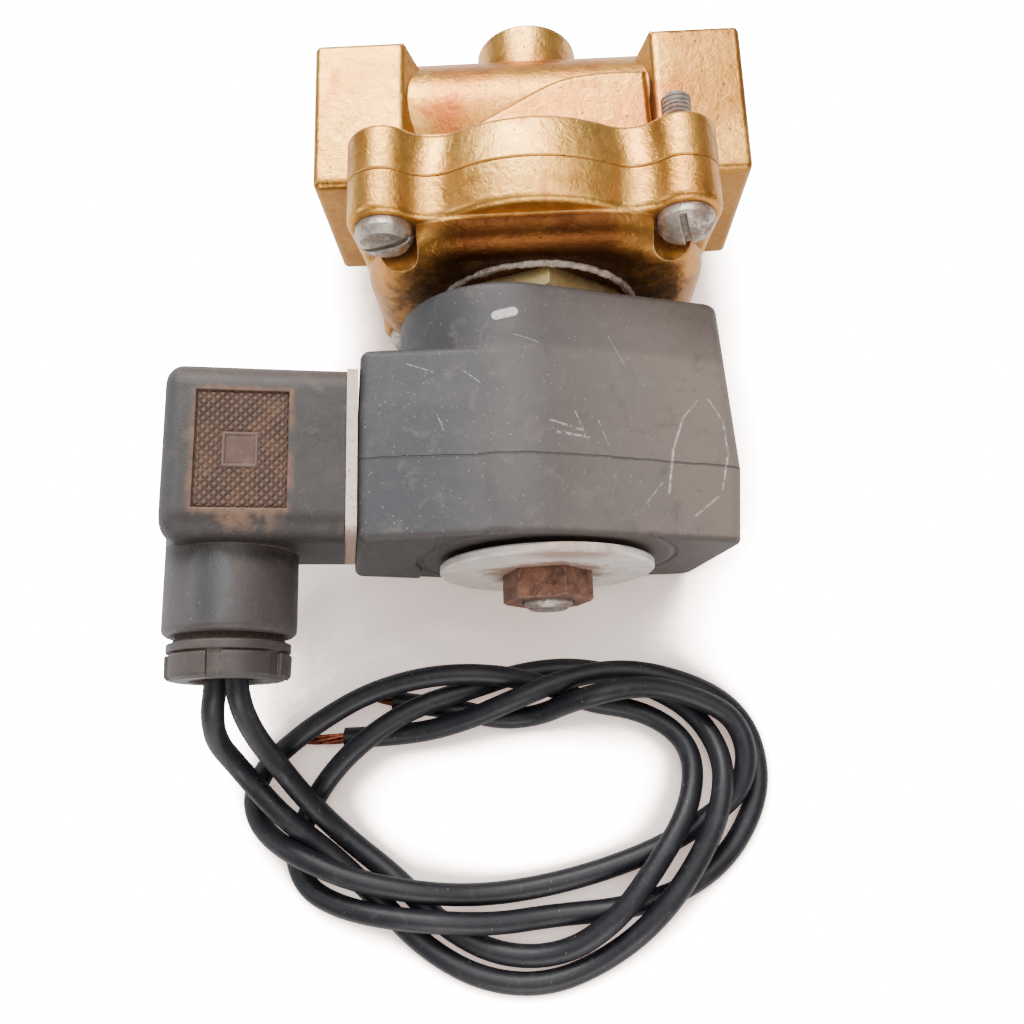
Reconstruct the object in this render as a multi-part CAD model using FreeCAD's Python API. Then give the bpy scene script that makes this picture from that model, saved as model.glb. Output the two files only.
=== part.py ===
import FreeCAD, Part
import math
import os

# ---------------------------------------------------------------------------
# Pilot-operated, normally closed solenoid valve, brass body, G 1/2 ports,
# moulded coil with a form A plug and two loose leads.
#
# Valve frame (millimetres), in which every piece is drawn:
#   x  along the ports, z along the valve axis from the body to the coil nut,
#   y  the side that faces up while the valve lies down.  The ports' common
#   axis crosses the valve axis at the origin.
# Row frame: the valve lies on its flange lobes and the rim of its coil, +Z up,
# ports along X, coil end towards -Y.  Origin: middle of the bottom face of the
# box around everything but the leads.
# ---------------------------------------------------------------------------

# --- placing
LIE_TILT = 6.20          # deg, nose-down tilt of the axis when the valve lies down
COIL_TURN = 11.35        # deg, how far the coil is turned on the tube
SHIFT = (0.0, 0.0, 0.0)  # filled in below from the measured box

# --- body forging
PORT_LEN = 74.5          # port face to port face
PORT_SQ = 28.6           # square port ends
PORT_IN = 18.8           # x where a port end starts
TUBE_R = 13.2
TUBE_Z = -3.3
BOSS_R = 9.25
BOSS_Z = -20.8
THREAD_R = 9.315         # G 1/2 minor radius
THREAD_L = 14.0
PASS_R = 7.0
SEAT_R = 6.5
SEAT_RO = 8.6
SEAT_Z = 15.2
CH_R = 17.3              # annular chamber under the diaphragm
CH_Z = 11.6
SPLIT_Z = 18.75
FL_Z0 = 10.6             # body flange underside
FL_Z1 = 26.2             # cover flange top
LOBE_X, LOBE_Y, LOBE_R = 24.1, 19.4, 6.0
BULGE_R = 26.9
UNDER_R = 25.2          # the underside's bulge lies level with the lobes
VALLEY_R = 6.5
SIDE_X = 29.0

# --- cover
DOME_X, DOME_Y, DOME_C = 28.9, 22.8, 19.0
DOME_Z = 31.5
CAV_R = 17.5
CAV_Z = 25.2
TUBE_THREAD_R = 10.0

# --- screws M5
M5_R = 2.45
HEAD_R = 4.7
HEAD_H = 3.1

# --- tube set
HEX_AF = 27.0
HEX_Z = 35.5
TUBE_RI, TUBE_RO = 6.5, 7.0
CORE_Z0, CORE_Z1 = 62.0, 73.5
CAP_Z = 75.0
STUD_R = 4.0
STUD_Z = 85.4
PL_R = 6.42
PL_Z0, PL_Z1 = 20.3, 57.5
PL_TRAVEL = 4.5
LIFT = 3.2

# --- coil
COIL_Z0, COIL_ZP, COIL_Z1 = 35.5, 64.6, 76.9
BLOCK_Z0, BLOCK_Z1 = 46.6, 77.4
BLOCK_X = -31.4
BLOCK_Y = 13.9
BORE_R = 7.2
RING_Z = 77.9
WASH_R, WASH_T = 17.7, 1.5
NUT_AF, NUT_H = 13.0, 4.8

# --- plug
GASKET_T = 1.65
PLUG_Z0, PLUG_Z1 = 49.2, 76.7
PLUG_H = 26.9
PLUG_Y = 14.0
GL_X = -50.4             # gland axis
NECK_R = 10.15
NECK_Z = 89.6
GNUT_R = 9.3
GNUT_Z0, GNUT_Z1 = 90.5, 96.2
LEAD_R = 1.8
LEAD_Z = 91.0            # height in the gland where the free leads start
COPPER_R = 1.05          # bundle of bare strands
LEAD_AT = ((-49.3, 0.1), (-52.4, -1.95))   # the two leads in the gland

V = FreeCAD.Vector
OUT = "parts"
os.makedirs(OUT, exist_ok=True)


def cyl(r, z0, z1, x=0.0, y=0.0):
    return Part.makeCylinder(r, z1 - z0, V(x, y, z0), V(0, 0, 1))


def cylx(r, x0, x1, y=0.0, z=0.0):
    return Part.makeCylinder(r, x1 - x0, V(x0, y, z), V(1, 0, 0))


def box(x0, x1, y0, y1, z0, z1):
    return Part.makeBox(x1 - x0, y1 - y0, z1 - z0, V(x0, y0, z0))


def fuse(first, *rest):
    return first.multiFuse(list(rest)).removeSplitter()


def cut(first, *rest):
    out = first
    for r in rest:
        out = out.cut(r)
    return out


def try_fillet(shape, radius, pick):
    """Round the edges that pick() accepts; a failed set is tried edge by edge."""
    edges = [e for e in shape.Edges if pick(e)]
    if not edges:
        return shape
    try:
        out = shape.makeFillet(radius, edges)
        if out.isValid() and out.Volume > 0:
            return out
    except Exception:
        pass
    out = shape
    mids = [e.valueAt((e.FirstParameter + e.LastParameter) / 2) for e in edges]
    for m in mids:
        for e in out.Edges:
            c = e.valueAt((e.FirstParameter + e.LastParameter) / 2)
            if (c - m).Length < 0.05:
                try:
                    t = out.makeFillet(radius, [e])
                    if t.isValid():
                        out = t
                except Exception:
                    pass
                break
    return out


def zbox(e):
    b = e.BoundBox
    return b.ZMin, b.ZMax


def hexagon(af, z0, z1, turn=0.0):
    r = af / math.sqrt(3.0)
    pts = [V(r * math.cos(math.radians(turn + 60 * i)), r * math.sin(math.radians(turn + 60 * i)), z0) for i in range(7)]
    return Part.Face(Part.makePolygon(pts)).extrude(V(0, 0, z1 - z0))


def revolve(pts):
    """Ring or disc from (r, z) points."""
    w = Part.makePolygon([V(r, 0, z) for r, z in pts] + [V(pts[0][0], 0, pts[0][1])])
    return Part.Face(w).revolve(V(0, 0, 0), V(0, 0, 1), 360)


def spring(r_mean, wire, z0, z1, turns):
    """Round-wire compression spring whose wire just fits between z0 and z1."""
    h = (z1 - z0) - 2 * wire
    helix = Part.makeHelix(h / turns, h, r_mean)
    prof = Part.Wire([Part.Circle(V(r_mean, 0, 0), V(0, 1, 0), wire).toShape()])
    body = Part.Wire(helix.Edges).makePipeShell([prof], True, True)
    body.translate(V(0, 0, z0 + wire))
    return body


# ---------------------------------------------------------------- flange outline
def outline_side(rb):
    """Tangent points of one quarter of the flange outline for a bulge of radius rb."""
    lx, ly, lr = LOBE_X, LOBE_Y, LOBE_R
    d = math.hypot(lx, ly)
    rc = VALLEY_R
    th = math.acos((d * d + (rb + rc) ** 2 - (lr + rc) ** 2) / (2 * d * (rb + rc)))
    ca = math.atan2(ly, lx) + th
    cx, cy = (rb + rc) * math.cos(ca), (rb + rc) * math.sin(ca)
    t1 = (rb * math.cos(ca), rb * math.sin(ca))                       # bulge / valley
    k = lr / (lr + rc)
    t2 = (lx + (cx - lx) * k, ly + (cy - ly) * k)                     # valley / lobe
    am = (ca + math.atan2(cy - ly, cx - lx)) / 2
    vm = (cx - rc * math.cos(am), cy - rc * math.sin(am))
    e = lx - SIDE_X
    rs = (e * e + ly * ly - lr * lr) / (2 * (lr + e))
    sx = SIDE_X + rs
    dl = math.hypot(sx - lx, ly)
    t3 = (lx + lr * (sx - lx) / dl, ly - lr * ly / dl)                # lobe / side
    am = (math.atan2(t2[1] - ly, t2[0] - lx) + math.atan2(t3[1] - ly, t3[0] - lx)) / 2
    lm = (lx + lr * math.cos(am), ly + lr * math.sin(am))
    return t1, vm, t2, lm, t3


def flange_outline(z, less=0.0):
    """Four-lobed outline: lobes, near and far bulges, shallow sides, all tangent."""
    up = outline_side(BULGE_R - less)
    dn = outline_side(UNDER_R - less / 2)
    q = lambda p, sx_, sy_: V(p[0] * sx_, p[1] * sy_, z)
    edges = []

    def arc(a, b, c):
        edges.append(Part.Arc(a, b, c).toShape())
    # counter-clockwise from the middle of the +x side
    t1, vm, t2, lm, t3 = up
    arc(q(dn[4], 1, -1), V(SIDE_X, 0, z), q(t3, 1, 1))
    arc(q(t3, 1, 1), q(lm, 1, 1), q(t2, 1, 1))
    arc(q(t2, 1, 1), q(vm, 1, 1), q(t1, 1, 1))
    arc(q(t1, 1, 1), V(0, BULGE_R - less, z), q(t1, -1, 1))
    arc(q(t1, -1, 1), q(vm, -1, 1), q(t2, -1, 1))
    arc(q(t2, -1, 1), q(lm, -1, 1), q(t3, -1, 1))
    arc(q(t3, -1, 1), V(-SIDE_X, 0, z), q(dn[4], -1, -1))
    t1, vm, t2, lm, t3 = dn
    arc(q(t3, -1, -1), q(lm, -1, -1), q(t2, -1, -1))
    arc(q(t2, -1, -1), q(vm, -1, -1), q(t1, -1, -1))
    arc(q(t1, -1, -1), V(0, -(UNDER_R - less / 2), z), q(t1, 1, -1))
    arc(q(t1, 1, -1), q(vm, 1, -1), q(t2, 1, -1))
    arc(q(t2, 1, -1), q(lm, 1, -1), q(t3, 1, -1))
    return Part.Wire(edges)


def flange(z0, z1, less=(0.0, 0.0)):
    """Forged plate: its bulges draw in slightly away from the joint."""
    return Part.makeLoft([flange_outline(z0, less[0]), flange_outline(z1, less[1])], True, True)


def rounded_rect(hx, hy, r, z):
    e = []
    for (sx, sy, a0) in ((1, 1, 0), (-1, 1, 90), (-1, -1, 180), (1, -1, 270)):
        c = V(sx * (hx - r), sy * (hy - r), z)
        p = [V(c.x + r * math.cos(math.radians(a0 + k)), c.y + r * math.sin(math.radians(a0 + k)), z) for k in (0, 45, 90)]
        e.append(p)
    edges = []
    for i, p in enumerate(e):
        edges.append(Part.Arc(p[0], p[1], p[2]).toShape())
        n = e[(i + 1) % 4][0]
        if (n - p[2]).Length > 1e-6:
            edges.append(Part.LineSegment(p[2], n).toShape())
    return Part.Wire(edges)


# ================================================================ body
def make_body():
    h = PORT_SQ / 2
    ends = []
    for s in (-1, 1):
        xo, xk, xi = PORT_LEN / 2, PORT_IN + 3.1, PORT_IN
        pr = [(xi, -h + 4.0), (xk, -h), (xo, -h), (xo, h), (xk, h), (xi, h - 4.0)]
        pa = [V(s * x, -h, z) for x, z in pr]
        pb = [V(s * x, z, -h) for x, z in pr]
        a = Part.Face(Part.makePolygon(pa + [pa[0]])).extrude(V(0, 2 * h, 0))
        b = Part.Face(Part.makePolygon(pb + [pb[0]])).extrude(V(0, 0, 2 * h))
        b = a.common(b)
        b = try_fillet(b, 1.5, lambda e: abs(e.BoundBox.XLength - (xo - xk)) < 1e-3 and e.BoundBox.YLength < 0.01)
        b = try_fillet(b, 1.1, lambda e: e.BoundBox.XLength < 1e-3 and abs(abs(e.CenterOfMass.x) - xo) < 1e-3)
        b = try_fillet(b, 1.6, lambda e: e.BoundBox.XLength < 1e-3 and abs(abs(e.CenterOfMass.x) - xk) < 1e-3)
        ends.append(b)
    tube = cylx(TUBE_R, -24, 24, 0, TUBE_Z)
    boss = cyl(BOSS_R, BOSS_Z, -6)
    boss = try_fillet(boss, 0.7, lambda e: abs(zbox(e)[0] - BOSS_Z) < 1e-3 and abs(zbox(e)[1] - BOSS_Z) < 1e-3)
    # raised wall of the outlet side, its lower edge runs down from the flange in a long curve
    pts = [(-15.0, 9.2), (-9.6, 4.2), (-5.0, 1.5), (0.3, -1.6), (5.8, -4.1), (11.3, -5.0), (15.8, -5.1)]
    bs = Part.BSplineCurve()
    bs.interpolate([V(x, -15.6, z) for x, z in pts])
    e1 = bs.toShape()
    a, b_ = V(15.8, -15.6, -5.1), V(20.4, -15.6, -5.0)
    c_, d_ = V(20.9, -15.6, 12.0), V(-15.0, -15.6, 12.0)
    w = Part.Wire([e1, Part.LineSegment(a, b_).toShape(), Part.LineSegment(b_, c_).toShape(),
                   Part.LineSegment(c_, d_).toShape(), Part.LineSegment(d_, V(-15.0, -15.6, 9.2)).toShape()])
    rib = Part.Face(w).extrude(V(0, 31.2, 0))
    rib = try_fillet(rib, 1.2, lambda e: abs(abs(e.CenterOfMass.y) - 15.6) < 0.01 and e.CenterOfMass.z < 8)
    neckring = cyl(19.5, 6.0, FL_Z0 + 1)
    fl = flange(FL_Z0, SPLIT_Z, (1.1, 0.0))
    fl = try_fillet(fl, 1.0, lambda e: zbox(e)[1] < FL_Z0 + 0.01)
    fl = try_fillet(fl, 0.35, lambda e: zbox(e)[0] > SPLIT_Z - 0.01)
    # a low pad on each +y lobe's side
    body = fuse(tube, ends[0], ends[1], boss, rib, fl, box(-19.0, 19.0, -11.5, 11.5, 2.0, FL_Z0 + 1))
    # bores
    for s in (-1, 1):
        xe = s * PORT_LEN / 2
        body = body.cut(cylx(THREAD_R, min(xe, xe - s * THREAD_L) - (0.01 if s < 0 else 0), max(xe, xe - s * THREAD_L) + (0.01 if s > 0 else 0)))
        cone = Part.makeCone(10.9, THREAD_R, 1.6, V(xe, 0, 0), V(-s, 0, 0))
        body = body.cut(cone)
    inlet = fuse(cylx(PASS_R, -PORT_LEN / 2 + THREAD_L - 0.5, -15.0), Part.makeSphere(PASS_R, V(-15.0, 0, 0)))
    body = cut(body, inlet, cyl(4.3, 0, CH_Z + 0.5, -13.4, 0))
    outlet = fuse(cylx(PASS_R, 0, PORT_LEN / 2 - THREAD_L + 0.5), cyl(SEAT_R, 0, SEAT_Z + 1))
    body = cut(body, outlet, cyl(SEAT_R, -6.4, 1))
    chamber = cyl(CH_R, CH_Z, SPLIT_Z + 1).cut(cyl(SEAT_RO, CH_Z - 0.1, SEAT_Z))
    body = body.cut(chamber)
    body = body.cut(cyl(21.0, SPLIT_Z - 1.6, SPLIT_Z + 1))
    for sx in (-1, 1):
        for sy in (-1, 1):
            body = body.cut(cyl(M5_R, 0, 30, sx * LOBE_X, sy * LOBE_Y))
    return body


def make_cover():
    fl = flange(SPLIT_Z, FL_Z1, (0.0, 0.3))
    fl = try_fillet(fl, 1.2, lambda e: zbox(e)[0] > FL_Z1 - 0.01)
    fl = try_fillet(fl, 0.35, lambda e: zbox(e)[1] < SPLIT_Z + 0.01)
    dome = Part.Face(rounded_rect(DOME_X, DOME_Y, DOME_C, FL_Z1 - 3)).extrude(V(0, 0, DOME_Z - FL_Z1 + 3))
    dome = try_fillet(dome, 4.9, lambda e: zbox(e)[0] > DOME_Z - 0.01)
    c = fuse(fl, dome)
    for sx in (-1, 1):
        for sy in (-1, 1):
            c = c.cut(cyl(5.3, FL_Z1, 40, sx * LOBE_X, sy * LOBE_Y))
            c = c.cut(cyl(2.75, 10, 40, sx * LOBE_X, sy * LOBE_Y))
    c = c.cut(cyl(CAV_R, 10, CAV_Z))
    c = c.cut(cyl(TUBE_THREAD_R, 10, 40))
    c = c.cut(cyl(12.9, DOME_Z - 1.2, 40))
    return c


def screw(x, y, length):
    """Pan head M5 with a slot; head sits on the cover flange."""
    prof = [(0, 0), (HEAD_R, 0), (HEAD_R, HEAD_H * 0.45), (HEAD_R * 0.82, HEAD_H * 0.86), (HEAD_R * 0.5, HEAD_H), (0, HEAD_H)]
    head = revolve(prof)
    head.translate(V(0, 0, FL_Z1))
    sh = revolve([(0, FL_Z1 - length), (M5_R - 0.7, FL_Z1 - length), (M5_R, FL_Z1 - length + 0.7), (M5_R, FL_Z1), (0, FL_Z1)])
    s = fuse(head, sh)
    slot = box(-6, 6, -0.6, 0.6, FL_Z1 + HEAD_H - 1.3, FL_Z1 + 10)
    a = 105 if x > 0 and y > 0 else (20 if x < 0 and y > 0 else 60)
    slot.rotate(V(0, 0, 0), V(0, 0, 1), a)
    s = s.cut(slot)
    s.translate(V(x, y, 0))
    return s


def make_diaphragm():
    """Rubber: clamped rim, thin sloping web, thick middle that closes the seat."""
    pts = [(4.0, SEAT_Z), (10.6, SEAT_Z), (16.9, SPLIT_Z - 1.6), (20.9, SPLIT_Z - 1.6), (20.9, SPLIT_Z),
           (17.2, SPLIT_Z), (16.4, SPLIT_Z - 0.5), (10.3, 17.0), (4.0, 17.0)]
    return revolve(pts)


def make_plate():
    p = revolve([(4.0, 17.0), (10.0, 17.0), (10.0, 17.7), (9.4, 18.3), (4.0, 18.3)])
    return p.cut(cyl(0.5, 16, 20, 8.0, 0))


def make_pilot():
    # nozzle rivet that clamps the plate to the diaphragm; the hole through it is the pilot way
    return revolve([(0.9, 13.6), (5.4, 13.6), (5.8, 14.0), (5.8, SEAT_Z), (4.0, SEAT_Z), (4.0, 18.3), (5.3, 18.3),
                    (5.3, 19.1), (4.9, 19.4), (2.1, 19.4), (1.6, 20.0), (0.9, 20.0)])


def make_tube_nut():
    n = hexagon(HEX_AF, DOME_Z, HEX_Z, 30 - 7.6)
    n = n.common(Part.makeCone(14.4 + 4.0, 14.4, 4.0, V(0, 0, DOME_Z), V(0, 0, 1)).fuse(cyl(18.4, DOME_Z - 1, DOME_Z)))
    n = fuse(n, cyl(TUBE_THREAD_R, CAV_Z, DOME_Z))
    n = n.cut(cyl(TUBE_RI, 0, 60))
    n = n.cut(cyl(TUBE_RO, 28.0, 60))
    return n


def make_oring():
    return revolve([(10.9, DOME_Z - 1.2), (12.4, DOME_Z - 1.2), (12.7, DOME_Z - 0.9), (12.7, DOME_Z - 0.3), (12.4, DOME_Z),
                    (10.9, DOME_Z), (10.6, DOME_Z - 0.3), (10.6, DOME_Z - 0.9)])


def make_fixed_core():
    c = fuse(cyl(TUBE_RI, CORE_Z0, CORE_Z1), revolve([(0, CORE_Z1), (TUBE_RO, CORE_Z1), (TUBE_RO, CAP_Z - 0.5), (TUBE_RO - 0.6, CAP_Z), (0, CAP_Z)]),
             revolve([(0, CAP_Z), (STUD_R, CAP_Z), (STUD_R, STUD_Z - 0.8), (STUD_R - 0.9, STUD_Z), (0, STUD_Z)]))
    c = c.cut(revolve([(4.3, CORE_Z0 - 1), (5.2, CORE_Z0 - 1), (5.2, CORE_Z0 + 1.6), (4.3, CORE_Z0 + 1.6)]))
    return c.cut(cyl(2.6, CORE_Z0 - 1, CORE_Z0 + 4.0))


def make_plunger():
    p = revolve([(0, PL_Z0), (5.2, PL_Z0), (PL_R, PL_Z0 + 1.2), (PL_R, PL_Z1 - 0.4), (PL_R - 0.4, PL_Z1), (0, PL_Z1)])
    p = p.cut(cyl(3.6, PL_Z1 - 13.0, PL_Z1 + 1))
    p = p.cut(cyl(3.0, PL_Z0 - 1, PL_Z0 + 2.6))
    for s in (-1, 1):
        p = p.cut(cyl(1.0, PL_Z0 - 1, PL_Z1 + 1, s * (PL_R + 0.1), 0))
    return p


# ================================================================ coil
def coil_section(z, xc, r, xr, yr, rc=3.0):
    """Round at -x, straight tangents to a flat +x face with rounded corners."""
    px, py = xr, yr
    dx = px - xc
    d = math.hypot(dx, py)
    al = math.asin(r / d) - math.atan2(py, dx)      # slope of the flank below the x axis direction
    n = V(math.sin(al), math.cos(al), 0)
    t = V(xc + r * n.x, r * n.y, z)                 # tangent point on the round
    # corner between the flank and the flat face
    corner = V(px, py, z)
    u1 = (t - corner).normalize()
    u2 = V(0, -1, 0)
    ang = u1.getAngle(u2)
    off = rc / math.tan(ang / 2)
    a = corner + u1 * off
    b = corner + u2 * off
    bis = (u1 + u2).normalize()
    cen = corner + bis * (rc / math.sin(ang / 2))
    mid = cen - bis * rc
    m = lambda p_: V(p_.x, -p_.y, p_.z)
    return Part.Wire([
        Part.Arc(t, V(xc - r, 0, z), m(t)).toShape(),
        Part.LineSegment(m(t), m(a)).toShape(),
        Part.Arc(m(a), m(mid), m(b)).toShape(),
        Part.LineSegment(m(b), b).toShape(),
        Part.Arc(b, mid, a).toShape(),
        Part.LineSegment(a, t).toShape()])


def block_section(z, x0, y0, rc=1.6):
    p = [V(x0, -y0, z), V(-9.0, -18.2, z), V(-9.0, 18.2, z), V(x0, y0, z)]
    u = (p[2] - p[3]).normalize()
    w = V(0, -1, 0)
    ang = u.getAngle(w)
    off = rc / math.tan(ang / 2)
    a = p[3] + u * off
    b = p[3] + w * off
    bis = (u + w).normalize()
    mid = p[3] + bis * (rc / math.sin(ang / 2) - rc)
    m = lambda q: V(q.x, -q.y, q.z)
    return Part.Wire([
        Part.LineSegment(m(a), p[1]).toShape(), Part.LineSegment(p[1], p[2]).toShape(), Part.LineSegment(p[2], a).toShape(),
        Part.Arc(a, mid, b).toShape(), Part.LineSegment(b, m(b)).toShape(), Part.Arc(m(b), m(mid), m(a)).toShape()])


TERM_Z = (PLUG_Z0 + PLUG_Z1) / 2


def make_terminals():
    x0 = BLOCK_X - 9.2
    t = []
    for s in (-1, 1):
        z = TERM_Z + 9.0 * s
        b = box(x0, -16.6, -3.15, 3.15, z - 0.4, z + 0.4)
        b = b.makeChamfer(1.0, [e for e in b.Edges if abs(e.BoundBox.XMax - x0) < 1e-3 and e.BoundBox.ZLength > 0.5])
        t.append(b)
    return Part.makeCompound(t)


def make_earth():
    x0 = BLOCK_X - 9.2
    b = box(x0, -15.4, -9.4, -8.6, TERM_Z - 3.15, TERM_Z + 3.15)
    return b.makeChamfer(1.0, [e for e in b.Edges if abs(e.BoundBox.XMax - x0) < 1e-3 and e.BoundBox.YLength > 0.5])


def make_insert():
    return revolve([(1.5, 0), (2.7, 0), (2.7, 8.0), (1.5, 8.0)])


def place_insert(s):
    s.rotate(V(0, 0, 0), V(0, 1, 0), 90)
    s.translate(V(BLOCK_X, 0, TERM_Z))
    return s


def make_bobbin():
    return revolve([(BORE_R, 39.5), (15.8, 39.5), (15.8, 41.0), (8.4, 41.0), (8.4, 72.0), (15.8, 72.0), (15.8, 73.5), (BORE_R, 73.5)])


def make_winding():
    return revolve([(8.4, 41.0), (14.9, 41.0), (14.9, 72.0), (8.4, 72.0)])


def make_yoke():
    a = box(-13.5, 20.5, -11.5, 11.5, 37.0, 39.5)
    b = box(-13.5, 20.5, -11.5, 11.5, 73.5, 76.0)
    c = box(18.0, 20.5, -11.5, 11.5, 39.5, 73.5)
    y = fuse(a, b, c)
    return y.cut(cyl(BORE_R, 30, 80))


def make_coil(inner):
    w0 = coil_section(COIL_Z0, -6.0, 18.0, 28.7, 13.4)
    w1 = coil_section(COIL_ZP, -5.3, 19.1, 30.4, 13.8)
    w2 = coil_section(COIL_Z1, -5.4, 18.7, 29.4, 13.4)
    lo = Part.makeLoft([w0, w1], True, True)
    hi = Part.makeLoft([w1, w2], True, True)
    lo = try_fillet(lo, 1.4, lambda e: zbox(e)[1] < COIL_Z0 + 0.01)
    hi = try_fillet(hi, 0.9, lambda e: zbox(e)[0] > COIL_Z1 - 0.01)
    b0 = block_section(BLOCK_Z0, BLOCK_X + 0.35, BLOCK_Y - 0.15)
    b1 = block_section(COIL_ZP, BLOCK_X, BLOCK_Y)
    b2 = block_section(BLOCK_Z1, BLOCK_X + 0.1, BLOCK_Y - 0.1)
    blo = Part.makeLoft([b0, b1], True, True)
    bhi = Part.makeLoft([b1, b2], True, True)
    blo = try_fillet(blo, 1.5, lambda e: zbox(e)[1] < BLOCK_Z0 + 0.01 and e.CenterOfMass.x < -12)
    bhi = try_fillet(bhi, 1.3, lambda e: zbox(e)[0] > BLOCK_Z1 - 0.01 and e.CenterOfMass.x < -12)
    coil = fuse(lo, hi, blo, bhi)
    # the round face around the washer lies lower than the plug block's end
    coil = coil.cut(cyl(21.6, COIL_Z1, 90))
    coil = coil.cut(box(-20.0, 40, -30, 30, COIL_Z1, 90))
    coil = fuse(coil, cyl(12.5, COIL_Z1 - 1, RING_Z))
    coil = coil.cut(cyl(BORE_R, 20, 90))
    for s in inner:
        coil = coil.cut(s)
    return coil


def make_washer():
    return revolve([(4.25, RING_Z), (WASH_R - 0.25, RING_Z), (WASH_R, RING_Z + 0.3), (WASH_R, RING_Z + WASH_T - 0.3),
                    (WASH_R - 0.3, RING_Z + WASH_T), (4.25, RING_Z + WASH_T)])


def make_nut():
    z0 = RING_Z + WASH_T
    z1 = z0 + NUT_H
    n = hexagon(NUT_AF, z0, z1, 8.0)
    cone = Part.makeCone(7.05 + NUT_H * 1.6, 7.05, NUT_H, V(0, 0, z0), V(0, 0, 1))
    n = n.common(cone)
    n = n.cut(cyl(STUD_R, 60, 100))
    return n.cut(Part.makeCone(STUD_R, STUD_R + 0.5, 0.6, V(0, 0, z1 - 0.6), V(0, 0, 1)))


# ================================================================ plug
def plug_profile(x, z0, z1, y0, rn, rf):
    """Closed outline in the plane x: rn rounds the +y corners, rf the -y ones."""
    pts = []
    edges = []
    corners = [(y0, z1, rn, 0), (-y0, z1, rf, 90), (-y0, z0, rf, 180), (y0, z0, rn, 270)]
    arcs = []
    for (cy, cz, r, a0) in corners:
        sy = 1 if cy > 0 else -1
        sz = 1 if cz == z1 else -1
        c = (cy - sy * r, cz - sz * r)
        arcs.append([V(x, c[0] + r * math.cos(math.radians(a0 + k)), c[1] + r * math.sin(math.radians(a0 + k))) for k in (0, 45, 90)])
    for i, p in enumerate(arcs):
        edges.append(Part.Arc(p[0], p[1], p[2]).toShape())
        n = arcs[(i + 1) % 4][0]
        edges.append(Part.LineSegment(p[2], n).toShape())
    return Part.Face(Part.Wire(edges))


PX0 = BLOCK_X - GASKET_T           # gasket / plug face
PX1 = PX0 - PLUG_H                 # outer face of the plug
CAV_X = PX1 + 4.6                  # inside of the outer wall
BLK_X = -46.4                      # terminal block's back


def make_gasket():
    g = plug_profile(BLOCK_X, 49.6, 76.4, PLUG_Y, 1.6, 7.0).extrude(V(-GASKET_T, 0, 0))
    g = g.cut(cylx(2.0, -40, -25, 0, TERM_Z))
    for s in (-1, 1):
        g = g.cut(box(-40, -25, -3.6, 3.6, TERM_Z + 9 * s - 0.9, TERM_Z + 9 * s + 0.9))
    return g.cut(box(-40, -25, -9.9, -8.1, TERM_Z - 3.6, TERM_Z + 3.6))


def make_plug():
    p = plug_profile(PX0, PLUG_Z0, PLUG_Z1, PLUG_Y, 4.2, 8.6).extrude(V(-PLUG_H, 0, 0))
    p = try_fillet(p, 2.6, lambda e: e.BoundBox.XMax < PX1 + 0.01)
    neck = cyl(NECK_R, 64, NECK_Z, GL_X, 0)
    neck = try_fillet(neck, 1.2, lambda e: zbox(e)[0] > NECK_Z - 0.01)
    p = fuse(p, neck)
    p = p.cut(box(CAV_X, PX0 + 1, -11.4, 11.4, 51.6, 74.4))
    p = p.cut(cyl(7.4, 70, 90, GL_X, 0))
    p = p.cut(cyl(8.0, 83.8, 100, GL_X, 0))
    p = p.cut(cylx(1.7, -70, -50, 0, TERM_Z))
    p = p.cut(cylx(3.3, PX1 - 1, PX1 + 3.0, 0, TERM_Z))
    # shallow grip pad on the +y face
    pad = box(-55.1, -41.6, PLUG_Y - 0.6, PLUG_Y + 1, 54.2, 72.4)
    return p.cut(pad)


def make_terminal_block():
    b = box(BLK_X, PX0 - 0.3, -11.0, 11.0, 52.0, 74.0)
    b = b.makeFillet(1.0, [e for e in b.Edges if e.BoundBox.XLength > 5])
    b = b.cut(cylx(1.9, -60, -25, 0, TERM_Z))
    for s in (-1, 1):
        b = b.cut(box(BLOCK_X - 9.6, -25, -3.4, 3.4, TERM_Z + 9 * s - 0.6, TERM_Z + 9 * s + 0.6))
    b = b.cut(box(BLOCK_X - 9.6, -25, -9.6, -8.4, TERM_Z - 3.4, TERM_Z + 3.4))
    for (y, z) in ((6.6, TERM_Z - 6.6), (6.6, TERM_Z + 6.6), (-6.6, TERM_Z + 6.6)):
        b = b.cut(cylx(1.5, BLK_X - 1, BLK_X + 4.0, y, z))
        b = b.cut(cylx(2.3, BLK_X - 1, BLK_X + 1.0, y, z))
    return b


def make_terminal_screws():
    out = []
    for (y, z) in ((6.6, TERM_Z - 6.6), (6.6, TERM_Z + 6.6), (-6.6, TERM_Z + 6.6)):
        s = fuse(cylx(2.25, BLK_X - 0.8, BLK_X + 1.0, y, z), cylx(1.5, BLK_X + 0.5, BLK_X + 4.0, y, z))
        s = s.cut(box(BLK_X - 2, BLK_X - 0.1, y - 3, y + 3, z - 0.35, z + 0.35))
        out.append(s)
    return Part.makeCompound(out)


def make_plug_screw():
    s = fuse(cylx(2.9, PX1 + 0.6, PX1 + 3.0, 0, TERM_Z), cylx(1.5, PX1 + 2.0, BLOCK_X + 7.0, 0, TERM_Z))
    return s.cut(box(PX1 - 1, PX1 + 1.6, -4, 4, TERM_Z - 0.4, TERM_Z + 0.4))


def make_grommet():
    g = revolve([(0, 76.6), (6.6, 76.6), (7.35, 78.0), (7.35, 83.2), (0, 83.2)])
    g.translate(V(GL_X, 0, 0))
    for x, y in LEAD_AT:
        g = g.cut(cyl(LEAD_R, 70, 90, x, y))
    return g


def make_gland_washer():
    g = revolve([(5.3, 83.2), (7.35, 83.2), (7.35, 83.8), (5.3, 83.8)])
    g.translate(V(GL_X, 0, 0))
    return g


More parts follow.
